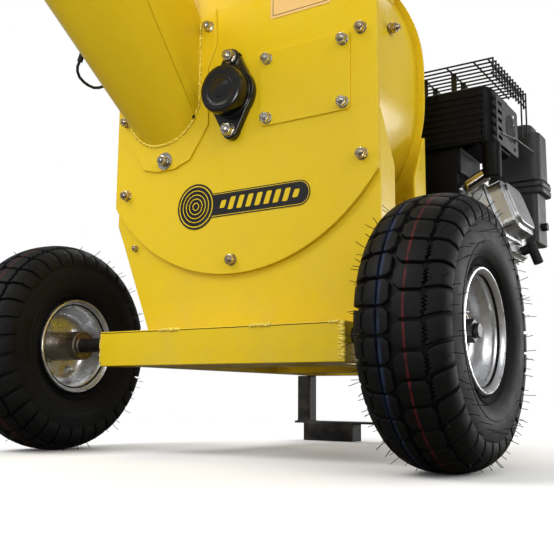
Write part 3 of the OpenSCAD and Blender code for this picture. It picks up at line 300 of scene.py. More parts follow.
def buildTreadMaterial(name, centre, radius):
    # Tyre rubber with the lines painted round its tread; centre is the wheel's middle.
    tree, place, shader, skin = buildFinish(name, "skin", skins["tyreRubber"])
    local = addNode(tree, "ShaderNodeMapping", {"Vector": place, "Location": [-c for c in centre]}).outputs[0]
    split = addNode(tree, "ShaderNodeSeparateXYZ", {0: local})
    wobble = combine(tree, "MULTIPLY", combine(tree, "SUBTRACT", noise(tree, local, 9.0, 2.0), 0.5), 0.004)
    across = combine(tree, "ADD", split.outputs[0], wobble)
    flat = addNode(tree, "ShaderNodeCombineXYZ", {1: split.outputs[1], 2: split.outputs[2]}).outputs[0]
    reach = addNode(tree, "ShaderNodeVectorMath", {0: flat}, operation="LENGTH").outputs["Value"]
    onTop = ramp(tree, reach, radius - 0.008, radius - 0.005)
    colour = skin.outputs["Color"]
    for offset, paint, half in treadLines:
        away = addNode(tree, "ShaderNodeMath", {0: combine(tree, "SUBTRACT", across, offset)}, operation="ABSOLUTE")
        line = ramp(tree, away.outputs[0], half * 1.35, half * 0.7)
        worn = ramp(tree, noise(tree, local, 60.0, 4.0), 0.36, 0.55, (0.25, 1.0))
        mask = combine(tree, "MULTIPLY", combine(tree, "MULTIPLY", line, worn), onTop)
        colour = mixColours(tree, mask, colour, paint)
    tree.links.new(colour, shader.inputs["Base Color"])


def makePiece(name, bm, body, material, replaces=(), smooth=32):
    bm.normal_update()
    mesh = bpy.data.meshes.new(name)
    bm.to_mesh(mesh)
    bm.free()
    if smooth:
        mesh.shade_smooth()
        mesh.set_sharp_from_angle(angle=math.radians(smooth))
    piece = bpy.data.objects.new(name, mesh)
    bpy.context.scene.collection.objects.link(piece)
    mesh.materials.append(bpy.data.materials[material])
    if body:
        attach(piece, body)
    if replaces:
        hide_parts(*replaces)
    return piece

def box(name):
    low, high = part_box(name)
    return Vector(low), Vector(high)

def middle(name):
    low, high = box(name)
    return (low + high) / 2

def meshOf(name):
    # A merged copy of a CAD node, with flat areas joined back into single faces.
    bm = bmesh.new()
    bm.from_mesh(nodes[name].data)
    bmesh.ops.remove_doubles(bm, verts=bm.verts, dist=2e-6)
    bmesh.ops.dissolve_degenerate(bm, edges=bm.edges, dist=1e-6)
    bmesh.ops.dissolve_limit(bm, angle_limit=math.radians(0.8), verts=bm.verts, edges=bm.edges)
    return bm

def bevelEdges(bm, edges, width, segments=2, clamp=True):
    bmesh.ops.bevel(bm, geom=edges, offset=width, offset_type="OFFSET", affect="EDGES", segments=segments,
                    profile=0.5, material=-1, clamp_overlap=clamp)

def softEdges(bm, width, segments=2, angle=30):
    sharp = [e for e in bm.edges if len(e.link_faces) == 2 and e.calc_face_angle(0) > math.radians(angle)]
    bevelEdges(bm, sharp, width, segments, clamp=False)

def weighNormals(bm):
    # Shading direction of each corner, led by the largest faces round it so that flat sheets stay flat.
    bm.normal_update()
    found = []
    for vert in bm.verts:
        total = Vector()
        for face in vert.link_faces:
            total += face.normal * face.calc_area()
        found.append(total.normalized() if total.length > 1e-12 else vert.normal.copy())
    return found

def refine(name, body, material, width=0.0008, segments=2, angle=30):
    bm = meshOf(name)
    softEdges(bm, width, segments, angle)
    normals = weighNormals(bm)
    piece = makePiece(name + "_finished", bm, body, material, (name,), smooth=0)
    piece.data.shade_smooth()
    piece.data.normals_split_custom_set_from_vertices(normals)
    return piece

def refineYellow(name, width, body=machine, angle=30):
    refine(name, body, "chipperYellow", width, angle=angle)

def dress(name, material):
    mesh = nodes[name].data
    mesh.materials.clear()
    mesh.materials.append(bpy.data.materials[material])

def lathe(bm, profile, centre, axis, steps=64):
    # Closed shape turned from points (along, radius) about the axis through centre.
    axis = Vector(axis).normalized()
    side = axis.orthogonal().normalized()
    ends = [centre + axis * a + side * r for a, r in profile]
    verts = [bm.verts.new(p) for p in ends]
    edges = [bm.edges.new((verts[i], verts[i + 1])) for i in range(len(verts) - 1)]
    if profile[0][1] > 1e-6 and profile[-1][1] > 1e-6:
        edges.append(bm.edges.new((verts[-1], verts[0])))
    bmesh.ops.spin(bm, geom=verts + edges, cent=centre, axis=axis, dvec=(0, 0, 0), angle=2 * math.pi,
                   steps=steps, use_merge=True)
    bmesh.ops.remove_doubles(bm, verts=bm.verts, dist=1e-6)
    bmesh.ops.recalc_face_normals(bm, faces=bm.faces)

def addLathe(bm, profile, centre, axis, steps=48):
    part = bmesh.new()
    lathe(part, profile, Vector(centre), axis, steps)
    joinInto(bm, part)

def joinInto(bm, part):
    mesh = bpy.data.meshes.new("joining")
    part.to_mesh(mesh)
    part.free()
    bm.from_mesh(mesh)
    bpy.data.meshes.remove(mesh)

def addBlock(bm, low, high, bevel=0.0):
    part = bmesh.new()
    size = Vector(high) - Vector(low)
    place = Matrix.Translation((Vector(low) + Vector(high)) / 2) @ Matrix.Diagonal((*size, 1))
    bmesh.ops.create_cube(part, size=1, matrix=place)
    if bevel:
        bevelEdges(part, list(part.edges), bevel)
    joinInto(bm, part)

def addTube(bm, path, radius, sides=8):
    # Round rod along a path of points, built by extruding a ring from point to point.
    part = bmesh.new()
    points = [Vector(p) for p in path]
    ring = None
    normal = None
    for i, point in enumerate(points):
        ahead = (points[min(i + 1, len(points) - 1)] - points[max(i - 1, 0)]).normalized()
        if normal is None:
            normal = ahead.orthogonal().normalized()
        normal = (normal - ahead * normal.dot(ahead)).normalized()
        cross = ahead.cross(normal)
        fresh = [part.verts.new(point + radius * (math.cos(a) * normal + math.sin(a) * cross))
                 for a in (2 * math.pi * k / sides for k in range(sides))]
        if ring:
            for k in range(sides):
                part.faces.new((ring[k], ring[(k + 1) % sides], fresh[(k + 1) % sides], fresh[k]))
        else:
            part.faces.new(fresh[::-1])
        ring = fresh
    part.faces.new(ring)
    bmesh.ops.recalc_face_normals(part, faces=part.faces)
    joinInto(bm, part)

def islands(name):
    # Boxes of the separate solids inside one CAD node.
    bm = bmesh.new()
    bm.from_mesh(nodes[name].data)
    bmesh.ops.remove_doubles(bm, verts=bm.verts, dist=2e-6)
    left = set(bm.verts)
    found = []
    while left:
        stack = [left.pop()]
        low = Vector((9, 9, 9))
        high = -low
        while stack:
            vert = stack.pop()
            low = Vector(map(min, low, vert.co))
            high = Vector(map(max, high, vert.co))
            for edge in vert.link_edges:
                other = edge.other_vert(vert)
                if other in left:
                    left.remove(other)
                    stack.append(other)
        found.append((low, high))
    bm.free()
    return sorted(found, key=lambda pair: (round(pair[0].x, 3), round(pair[0].z, 3)))


bolt = {"washer": 0.0018, "washerReach": 2.0, "nutReach": 1.85, "nutHeight": 1.7, "tip": 2.3, "thread": 0.00125,
        "chamfer": 0.13, "root": 0.86}

def addStud(bm, face, outward, radius, washer=True, turn=0.3):
    # Washer, chamfered nut and threaded end standing on a face.
    face = Vector(face)
    outward = Vector(outward).normalized()
    base = bolt["washer"] if washer else 0.0
    if washer:
        reach = radius * bolt["washerReach"]
        addLathe(bm, [(0, radius), (0, reach - 0.0003), (0.0003, reach), (base - 0.0004, reach),
                      (base, reach - 0.0005), (base, radius)], face, outward, 32)
    part = bmesh.new()
    high = radius * bolt["nutHeight"]
    lathe(part, [(base, radius), (base, radius * bolt["nutReach"]), (base + high, radius * bolt["nutReach"]),
                 (base + high, radius)], face, outward, 6)
    bmesh.ops.rotate(part, verts=part.verts, cent=face, matrix=Matrix.Rotation(turn, 3, outward))
    rims = [e for e in part.edges if len(e.link_faces) == 2 and e.calc_face_angle(0) > 0.3]
    bevelEdges(part, rims, radius * bolt["chamfer"])
    joinInto(bm, part)
    start = base + high - 0.001
    end = base + radius * bolt["tip"] + high * 0.25
    turns = max(2, round((end - start) / bolt["thread"]))
    profile = [(start, 0)]
    for k in range(turns):
        a = start + (end - start) * k / turns
        profile += [(a, radius * bolt["root"]), (a + (end - start) / turns * 0.5, radius)]
    profile += [(end, radius * 0.8), (end + 0.0006, radius * 0.7), (end + 0.0006, 0)]
    addLathe(bm, profile, face, outward, 20)

def buildFasteners():
    for node, material in (("cover_bolts", "zincBright"), ("chute_bolts", "zincBright"), ("housing_bolts", "zincGold")):
        bm = bmesh.new()
        for low, high in islands(node):
            centre = (low + high) / 2
            wide = high.x - low.x > 0.03
            radius = 0.005 if wide else (high.x - low.x) / 4
            face = Vector((centre.x, low.y + bolt["washer"] + radius * bolt["tip"], centre.z))
            outward = (0, -1, 0)
            if low.x > box("front_plate")[1].x - 0.03:
                radius, face, outward = 0.005, Vector((high.x - 0.009, centre.y, centre.z)), (1, 0, 0)
            if wide:
                addLathe(bm, [(-0.0024, 0.006), (-0.0024, 0.0157), (-0.0020, 0.016), (-0.0004, 0.016), (0, 0.0156),
                              (0, 0.006)], face, outward, 48)
            if high.y - low.y < 0.012:                           # round nuts welded behind the flange
                addLathe(bm, [(0, 0), (0, 0.0075), (high.y - low.y, 0.0075), (high.y - low.y, 0)],
                         (centre.x, low.y, centre.z), (0, 1, 0), 24)
            else:
                addStud(bm, face, outward, radius, turn=random.uniform(0, 1))
        makePiece(node + "_finished", bm, machine, material, (node,))
    bm = bmesh.new()
    big, small = 0.006, 0.005
    for low, high in islands("mounting_bolts"):
        centre = (low + high) / 2
        if high.z - low.z > high.y - low.y:
            addStud(bm, (centre.x, centre.y, high.z - 0.012), up, small, washer=False)
            addStud(bm, (centre.x, centre.y, low.z + 0.009), -up, small, washer=False)
        elif centre.y < middle("housing_shell").y:
            addStud(bm, (centre.x, low.y + bolt["washer"] + big * bolt["tip"], centre.z), (0, -1, 0), big, turn=0.2)
        else:
            addStud(bm, (centre.x, high.y - bolt["washer"] - big * bolt["tip"], centre.z), (0, 1, 0), big)
    makePiece("mounting_bolts_finished", bm, machine, "zincBright", ("mounting_bolts",))
    print("fasteners done")


tread = {"pitches": 33, "depth": 0.0070, "exponent": 2.6, "shoulder": 0.060, "sink": 0.001, "edge": 0.0008,
         "draft": 0.965, "bulge": 0.0015}
hair = {"length": 0.020, "thick": 0.00055, "missing": 0.12, "sway": 0.25, "bend": 0.0008,
        "places": (-0.094, -0.078, -0.060, -0.046, 0.046, 0.060, 0.078, 0.094)}
# Side of the tyre as steps in from its widest part with their radii, and the bead on the rim.
sidewall = [(0, 0.124), (0.0005, 0.119), (-0.0003, 0.118), (0.0010, 0.112), (0.005, 0.104), (0.010, 0.098),
            (0.0085, 0.0965), (0.012, 0.0945), (0.015, 0.0905), (0.0175, 0.0885), (0.0215, 0.086)]
bead = (0.0475, 0.0745)

def crownPoint(arc, radius, halfWidth):
    # Point and outward direction on the tyre's crown at a distance arc from the middle of the tread.
    steps = 80
    n = tread["exponent"]
    tall = tread["shoulder"]
    previous = Vector((0, radius))
    travelled = 0.0
    for k in range(1, steps + 1):
        angle = math.pi / 2 * k / steps
        point = Vector((halfWidth * math.sin(angle) ** (2 / n),
                        radius - tall + tall * max(0.0, math.cos(angle)) ** (2 / n)))
        step = (point - previous).length
        if travelled + step >= abs(arc) or k == steps:
            share = (abs(arc) - travelled) / step
            spot = previous.lerp(point, share)
            along = (point - previous).normalized()
            normal = Vector((-along.y, along.x))
            if normal.y < -0.01 or normal.dot(Vector((spot.x, spot.y - radius + tall))) < 0:
                normal = -normal
            if arc < 0:
                spot.x, normal.x = -spot.x, -normal.x
            return spot, normal
        travelled += step
        previous = point

# Outlines of the tread blocks of one pitch: distance from the middle in mm, and share of the pitch.
blocks = [
    [(9, .05), (.5, .25), (.5, .75), (9, .95), (34, .95), (35, .80), (38, .76), (35, .70), (38, .62), (34.5, .56),
     (38, .48), (35, .42), (38, .34), (34.5, .28), (36, .12), (33, .05)],
    [(-9, .55), (-3, .70), (-3, 1.30), (-9, 1.45), (-17, 1.45), (-17, .55)],
    [(-20, .55), (-20, 1.45), (-31, 1.45), (-37, 1.28), (-37, .72), (-31, .55)],
    [(37.5, .12), (38.5, .26), (41, .34), (38, .42), (41, .48), (37.5, .56), (41, .62), (38, .70), (41, .76),
     (38.5, .86), (42, 1.04), (54, 1.16), (76, 1.20), (76, .38), (54, .28)],
    [(-34, .62), (-40, .76), (-40, 1.24), (-34, 1.38), (-52, 1.50), (-76, 1.54), (-76, .74), (-52, .64)],
]

def blockHeight(arc):
    # Share of the full tread depth, which fades out over the shoulders.
    return 1.0 - 0.88 * min(1.0, max(0.0, (abs(arc) - 0.056) / 0.020)) ** 1.5

def cutAcross(bm, spot, normal):
    bmesh.ops.bisect_plane(bm, geom=bm.verts[:] + bm.edges[:] + bm.faces[:], plane_co=spot, plane_no=normal)

def buildTreadSegment(radius, halfWidth, pitch):
    # One pitch of the tread, made flat and then wrapped over the crown.
    bm = bmesh.new()
    for outline in blocks:
        part = bmesh.new()
        base = [part.verts.new((arc / 1000, share * pitch, -tread["sink"])) for arc, share in outline]
        face = part.faces.new(base)
        face.normal_update()
        if face.normal.z < 0:
            face.normal_flip()
        raised = bmesh.ops.extrude_face_region(part, geom=[face])["geom"]
        top = [v for v in raised if isinstance(v, bmesh.types.BMVert)]
        bmesh.ops.translate(part, verts=top, vec=(0, 0, tread["depth"] + tread["sink"]))
        centre = sum((v.co for v in top), Vector()) / len(top)
        bmesh.ops.scale(part, vec=(tread["draft"], tread["draft"], 1), verts=top, space=Matrix.Translation(-centre))
        bmesh.ops.recalc_face_normals(part, faces=part.faces)
        rims = [e for e in part.edges if all(v in top for v in e.verts)]
        bevelEdges(part, rims, tread["edge"])
        lows = min(a for a, s in outline)
        highs = max(a for a, s in outline)
        cuts = max(1, round((highs - lows) / 9))
        for k in range(1, cuts):
            spot = (lows + (highs - lows) * k / cuts) / 1000
            cutAcross(part, (spot, 0, 0), (1, 0, 0))
        span = [s for a, s in outline]
        for k in (1, 2):
            spot = (min(span) + (max(span) - min(span)) * k / 3) * pitch
            cutAcross(part, (0, spot, 0), (0, 1, 0))
        joinInto(bm, part)
    for vert in bm.verts:
        spot, normal = crownPoint(vert.co.x, radius - tread["depth"], halfWidth)
        spot += normal * vert.co.z * blockHeight(vert.co.x)
        angle = vert.co.y / radius
        vert.co = Vector((spot.x, -spot.y * math.cos(angle), spot.y * math.sin(angle)))
    bmesh.ops.recalc_face_normals(bm, faces=bm.faces)
    return bm

def scatter(reach):
    return Vector([random.uniform(-reach, reach) for _ in range(3)])

def buildTyre(name, body):
    low, high = box(name)
    centre = (low + high) / 2
    radius = (high.z - low.z) / 2
    halfWidth = (high.x - low.x) / 2 - tread["bulge"]
    turn = 2 * math.pi / tread["pitches"]
    bm = buildTreadSegment(radius, halfWidth, turn * radius)
    bmesh.ops.spin(bm, geom=bm.verts[:] + bm.edges[:] + bm.faces[:], cent=(0, 0, 0), axis=(1, 0, 0), dvec=(0, 0, 0),
                   angle=2 * math.pi * (tread["pitches"] - 1) / tread["pitches"], steps=tread["pitches"] - 1,
                   use_duplicate=True)
    inner = radius - tread["depth"]
    crown = [tuple(crownPoint(arc / 1000, inner, halfWidth)[0]) for arc in range(0, 104, 4)]
    right = [p for p in crown if p[1] > inner - tread["shoulder"] + 0.002]
    right += [(halfWidth - a, r) for a, r in sidewall] + [bead]
    whole = [(-u, r) for u, r in reversed(right)] + right[1:]
    carcass = bmesh.new()
    lathe(carcass, whole, Vector((0, 0, 0)), (1, 0, 0), 120)
    joinInto(bm, carcass)
    for k in range(tread["pitches"]):
        for arc in hair["places"]:
            if random.random() < hair["missing"]:
                continue
            spot, normal = crownPoint(arc, radius, halfWidth)
            angle = turn * (k + random.uniform(0.25, 0.75))
            spin = Matrix.Rotation(angle, 3, (1, 0, 0))
            root = spin @ Vector((spot.x, -spot.y + 0.003, 0))
            lean = Vector((normal.x, -normal.y, 0)) + scatter(hair["sway"])
            tip = root + spin @ lean.normalized() * hair["length"] * random.uniform(0.5, 1.0)
            bend = (root + tip) / 2 + scatter(hair["bend"])
            addTube(bm, [root, bend, tip], hair["thick"], 4)
    bmesh.ops.translate(bm, verts=bm.verts, vec=centre)
    buildTreadMaterial(name + "Tread", centre, radius)
    makePiece(name + "_treaded", bm, body, name + "Tread", (name,), smooth=35)

# The rim's outlines as steps in from its edge with their radii: outer face, inner face and the tyre's well.
rim = {"half": 0.053, "boltRing": 0.049, "bolt": 0.0032, "outerSeat": 0.0467, "innerSeat": 0.0537,
       "outer": [(0.0015, 0.0850), (-0.0005, 0.0835), (-0.0008, 0.0815), (0.001, 0.0790), (0.005, 0.0765),
                 (0.011, 0.0750), (0.016, 0.0725), (0.021, 0.0700), (0.024, 0.0672), (0.028, 0.0650),
                 (0.036, 0.0640), (0.041, 0.0622), (0.045, 0.0580), (0.0470, 0.0520), (0.0465, 0.0440),
                 (0.0440, 0.0360), (0.0425, 0.0300), (0.0425, 0.0262)],
       "inner": [(0.0015, 0.0850), (-0.0005, 0.0835), (-0.0008, 0.0815), (0.001, 0.0790), (0.005, 0.0765),
                 (0.011, 0.0750), (0.018, 0.0710), (0.024, 0.0690), (0.036, 0.0675), (0.046, 0.0640),
                 (0.051, 0.0580), (0.0535, 0.0510), (0.0545, 0.0440), (0.0560, 0.0360), (0.0575, 0.0300),
                 (0.0575, 0.0262)],
       "well": [(0.004, 0.0850), (0.006, 0.0775), (0.012, 0.0725)]}

def buildRim(name, body, outward):
    centre = middle(name)
    axis = Vector((outward, 0, 0))
    half = rim["half"]
    outer, wellOuter = ([(half - a, r) for a, r in rim[key]] for key in ("outer", "well"))
    inner, wellInner = ([(a - half, r) for a, r in rim[key]] for key in ("inner", "well"))
    bm = bmesh.new()
    lathe(bm, outer[::-1] + wellOuter + wellInner[::-1] + inner, centre, axis, 96)
    for k in range(4):                                           # clamp bolts that hold the two rim halves
        angle = math.pi * (k / 2 + 0.2)
        arm = Vector((0, math.cos(angle), math.sin(angle))) * rim["boltRing"]
        addStud(bm, centre + axis * (half - rim["outerSeat"]) + arm, axis, rim["bolt"], turn=k)
        addStud(bm, centre - axis * (half - rim["innerSeat"]) + arm, -axis, rim["bolt"], turn=k)
    makePiece(name + "_pressed", bm, body, "zincRim", (name,), smooth=38)
    stem = bmesh.new()
    foot = centre + Vector((outward * (half - 0.0450), -0.0340, 0.0150))
    addLathe(stem, [(0, 0), (0, 0.0052), (0.004, 0.0046), (0.007, 0.0030), (0.014, 0.0027), (0.0142, 0.0031),
                    (0.022, 0.0031), (0.0226, 0.0024), (0.0226, 0)], foot, (outward, -0.1, 0.1), 20)
    makePiece(name + "_valve", stem, body, "softRubber")

def buildHub(name, body, outward):
    low, high = box(name)
    centre = (low + high) / 2
    half = (high.x - low.x) / 2
    bm = bmesh.new()
    r = (high.z - low.z) / 2
    bore = 0.01006
    face = [(half, bore), (half, 0.0145), (half - 0.0015, 0.016), (half - 0.0015, r - 0.004), (half, r - 0.0035),
            (half, r - 0.001), (half - 0.001, r)]
    lathe(bm, [(-a, b) for a, b in face] + face[::-1], centre, (outward, 0, 0), 64)
    makePiece(name + "_turned", bm, body, "hubSteel", (name,))

def buildWheels():
    for side, outward in (("left", -1), ("right", 1)):
        body = side + "_wheel"
        buildTyre(side + "_tyre", body)
        buildRim(side + "_rim", body, outward)
        buildHub(side + "_hub", body, outward)
    refine("wheel_nuts", machine, "darkSteel", 0.0009)
    refine("axle", machine, "darkSteel", 0.0012)
    print("wheels done")


def addWeld(bm, path, size=0.0032, pitch=0.0034):
    # Overlapping flattened beads along a line of points.
    points = [Vector(p) for p in path]
    for a, b in zip(points, points[1:]):
        length = (b - a).length
        count = max(1, round(length / pitch))
        for k in range(count):
            spot = a.lerp(b, (k + 0.5) / count) + Vector([random.gauss(0, size * 0.10) for _ in range(3)])
            scale = size * random.uniform(0.82, 1.18)
            shape = Matrix.Translation(spot) @ Matrix.Rotation(random.uniform(0, 3), 4, "Z") @ Matrix.Diagonal(
                (scale, scale * random.uniform(0.8, 1.1), scale * random.uniform(0.8, 1.1), 1))
            bmesh.ops.create_icosphere(bm, subdivisions=1, radius=1, matrix=shape)


def buildFrame():
    for name, width in (("base_frame", 0.0012), ("axle_beam", 0.0015), ("front_upright", 0.0011),
                        ("rear_upright", 0.0011)):
        refineYellow(name, width)
    refine("rear_stand", machine, "satinBlack", 0.002, 3)
    low, high = box("axle_beam")
    welds = bmesh.new()
    y = low.y + 0.0005
    for start, end in ((-0.105, -0.062), (0.075, 0.112), (0.213, 0.230)):
        addWeld(welds, [(start, y, high.z - 0.0015), (end, y, high.z - 0.0015)], 0.0036)
    addWeld(welds, [(low.x + 0.0005, y, low.z + 0.006), (low.x + 0.0005, y, high.z - 0.004)], 0.0026)
    for x, size in ((high.x - 0.0035, 0.0046), (high.x - 0.008, 0.0038)):
        addWeld(welds, [(x, y + size * 0.35, low.z + 0.003), (x, y + size * 0.35, high.z - 0.002)], size, 0.0046)
    for x in (low.x + 0.09, high.x - 0.09):
        addWeld(welds, [(x, high.y, low.z), (x, high.y, high.z)], 0.003)
    shell = box("housing_shell")
    for sideX in (shell[0].x, shell[1].x):
        inward = -0.003 if sideX > 0 else 0.003
        upright = box("front_upright")
        addWeld(welds, [(sideX + inward, upright[0].y + 0.004, upright[1].z - 0.004),
                        (sideX + inward, upright[0].y + 0.004, upright[1].z - 0.09)], 0.0026, 0.004)
    # The frame's beads take the lighter weld yellow, a painted highlight for their gloss.
    makePiece("frame_welds", welds, machine, "weldYellow", smooth=60)
    seam = bmesh.new()
    addBlock(seam, (low.x + 0.003, low.y - 0.0002, high.z - 0.0031), (high.x - 0.026, low.y + 0.001, high.z - 0.0019))
    makePiece("beam_seam", seam, machine, "gapShadow", smooth=0)
    print("frame done")


def buildChamber():
    for name, width in (("housing_shell", 0.0010), ("front_plate", 0.0013), ("rear_plate", 0.0012),
                        ("inspection_cover", 0.0009), ("discharge_neck", 0.0010)):
        refineYellow(name, width)
    for name in ("front_bearing_housing", "rear_bearing_housing"):
        refine(name, machine, "glossBlack", 0.0022, 3, angle=35)
    low, high = box("bearing_cap")
    centre = (low + high) / 2
    r = (high.z - low.z) / 2
    face = Vector((centre.x, high.y, centre.z))
    d = high.y - low.y
    bm = bmesh.new()
    rimEdge = [(0, r - 0.004), (0, r - 0.0006), (0.001, r), (0.005, r)]
    dome = [(0.0060, r - 0.0006), (0.0032, r - 0.0018), (0.0018, r - 0.0038), (0.0014, r - 0.0065),
            (0.0016, 0.0262), (0.0020, 0.0250), (0.0018, 0.0238), (0.0014, 0.0225), (0.0018, 0.0195),
            (0.0018, 0.0165), (0.0012, 0.0150), (0.0008, 0.0135), (0.0008, 0)]
    lathe(bm, rimEdge + [(d - a, b) for a, b in dome], face, (0, -1, 0), 72)
    makePiece("bearing_cap_moulded", bm, machine, "glossBlack", ("bearing_cap",), smooth=28)
    dress("anvil", "groundSteel")
    print("chamber done")


label = {"lift": 0.0005, "gap": 0.0018, "border": 0.005, "barPitch": 0.0180, "barSlant": 0.35}

def roundedPlate(bm, low, high, radius, thick):
    part = bmesh.new()
    size = Vector(high) - Vector(low)
    place = Matrix.Translation((Vector(low) + Vector(high)) / 2) @ Matrix.Diagonal((size.x, thick, size.z, 1))
    bmesh.ops.create_cube(part, size=1, matrix=place)
    upright = [e for e in part.edges if abs(e.verts[0].co.y - e.verts[1].co.y) > thick * 0.5]
    bevelEdges(part, upright, radius, 6)
    joinInto(bm, part)

def buildLabels():
    parts = islands("labels")
    band = min(parts, key=lambda p: p[0].z)
    tag = max(parts, key=lambda p: p[0].z)
    face = band[1].y
    for name, material, steps in (("badge_band", "satinBlack", 0), ("badge_keyline", "chipperYellow", 1),
                                  ("badge_field", "satinBlack", 2)):
        inset = label["gap"] * (0, 1, 1.6)[steps]
        bm = bmesh.new()
        roundedPlate(bm, (band[0].x + inset, face - label["lift"], band[0].z + inset),
                     (band[1].x - inset, face - label["lift"], band[1].z - inset),
                     (band[1].z - band[0].z) * 0.49 - inset, 2 * label["lift"] + 0.0002 * steps)
        makePiece(name, bm, machine, material, ("labels",) if steps == 0 else ())
    mid = (band[0].z + band[1].z) / 2
    spot = Vector((band[0].x + 0.034, face, mid + 0.002))
    for name, material, steps in (("badge_disc", "satinBlack", 0), ("badge_ring", "chipperYellow", 1),
                                  ("badge_middle", "satinBlack", 2)):
        r = (0.040, 0.0365, 0.0345)[steps]
        bm = bmesh.new()
        top = 0.0014 + 0.0001 * steps
        addLathe(bm, [(0, 0), (0, r), (top, r), (top, 0)], spot, (0, -1, 0), 64)
        makePiece(name, bm, machine, material)
    bm = bmesh.new()
    for r in (0.007, 0.0145, 0.0215, 0.0285):                    # plain rings, like the end of a log
        addLathe(bm, [(0.0012, r - 0.0014), (0.0012, r), (0.0021, r), (0.0021, r - 0.0014)], spot, (0, -1, 0), 48)
    makePiece("badge_rings", bm, machine, "chipperYellow")
    bm = bmesh.new()
    for k in range(9):                                           # plain slanted bars in place of any name
        x = band[0].x + 0.092 + k * label["barPitch"]
        part = bmesh.new()
        half = 0.0105 if k not in (0, 8) else 0.0065
        roundedPlate(part, (x - 0.0050, face - 0.0012, mid - half), (x + 0.0050, face - 0.0012, mid + half),
                     0.002, 0.0006)
        for vert in part.verts:
            vert.co.x += (vert.co.z - mid) * label["barSlant"]
        joinInto(bm, part)
    makePiece("badge_bars", bm, machine, "chipperYellow")
    bm = bmesh.new()
    roundedPlate(bm, (tag[0].x, face - label["lift"], tag[0].z), (tag[1].x, face - label["lift"], tag[1].z), 0.003,
                 2 * label["lift"])
    makePiece("plain_tag", bm, machine, "tagOrange")
    bm = bmesh.new()
    left, right, foot, head = (corner + label["border"] * way for corner, way in (
        (tag[0].x, 1), (tag[1].x, -1), (tag[0].z, 1), (tag[1].z, -1)))
    for z in (foot, head):
        addBlock(bm, (left, face - 0.0012, z - 0.0005), (right, face - 0.0004, z + 0.0005))
    for x in (left, right):
        addBlock(bm, (x - 0.0005, face - 0.0012, foot), (x + 0.0005, face - 0.0004, head))
    makePiece("plain_tag_border", bm, machine, "satinBlack")
    print("labels done")


chute = {"middle": -0.157, "half": 0.080, "flare": 0.042, "slope": 0.886, "corner": 0.080, "cornerGrow": 0.012,
         "sheet": 0.003, "seam": 0.039, "panel": 0.004, "rings": 14, "knee": 0.6, "bend": 12, "trough": 9}

def chuteProfile(share):
    # Outline of the chute in X and Z: a rolled trough, an open seam with a folded strip above it, and flat sides.
    low, high = box("feed_chute")
    rise = (high.y - low.y) * chute["slope"]
    tall = high.z - low.z - rise
    half = chute["half"] + chute["flare"] * share
    floor = low.z + rise * share
    r = chute["corner"] + chute["cornerGrow"] * share
    mid = chute["middle"]
    points = [(mid - half, floor + tall), (mid - half, floor + tall * chute["knee"])]
    points += [(mid - half + r - r * math.sin(a), floor + r - r * math.cos(a))
               for a in (math.radians(90 - 90 * k / chute["bend"]) for k in range(chute["bend"] + 1))]
    reach, seam = half - 0.004, chute["seam"]
    wide = (reach * reach + seam * seam) / (2 * seam)
    turn = 2 * math.atan2(seam, reach)
    points += [(mid + wide * math.sin(a), floor + wide * (1 - math.cos(a)))
               for a in (turn * k / chute["trough"] for k in range(1, chute["trough"] + 1))]
    x, z = points[-1]
    edge = mid + half + chute["panel"]
    points += [(x - 0.0020, z + 0.0002), (x - 0.0022, z + 0.0020), (x + 0.0012, z + 0.0022),
               (edge - 0.0012, z + 0.0145), (edge, z + 0.0185), (edge, floor + tall * chute["knee"]),
               (edge, floor + tall)]
    return points

def buildChute():
    low, high = box("feed_chute")
    bm = bmesh.new()
    outer, inner = [], []
    for k in range(chute["rings"] + 1):
        share = k / chute["rings"]
        y = high.y - (high.y - low.y) * share
        points = chuteProfile(share)
        centre = Vector((chute["middle"], sum(z for x, z in points[:2]) / 2))
        outer.append([bm.verts.new((x, y, z)) for x, z in points])
        shrunk = [p - (p - centre).normalized() * chute["sheet"] for p in (Vector(q) for q in points)]
        inner.append([bm.verts.new((x, y, z)) for x, z in shrunk])
    count = len(outer[0])
    for k in range(chute["rings"]):
        for i in range(count):
            n = (i + 1) % count
            bm.faces.new((outer[k][i], outer[k][n], outer[k + 1][n], outer[k + 1][i]))
            bm.faces.new((inner[k][n], inner[k][i], inner[k + 1][i], inner[k + 1][n]))
    for k in (0, chute["rings"]):
        for i in range(count):
            n = (i + 1) % count
            bm.faces.new((outer[k][n], outer[k][i], inner[k][i], inner[k][n]))
    bmesh.ops.recalc_face_normals(bm, faces=bm.faces)
    makePiece("feed_chute_folded", bm, machine, "chipperYellow", ("feed_chute",), smooth=24)

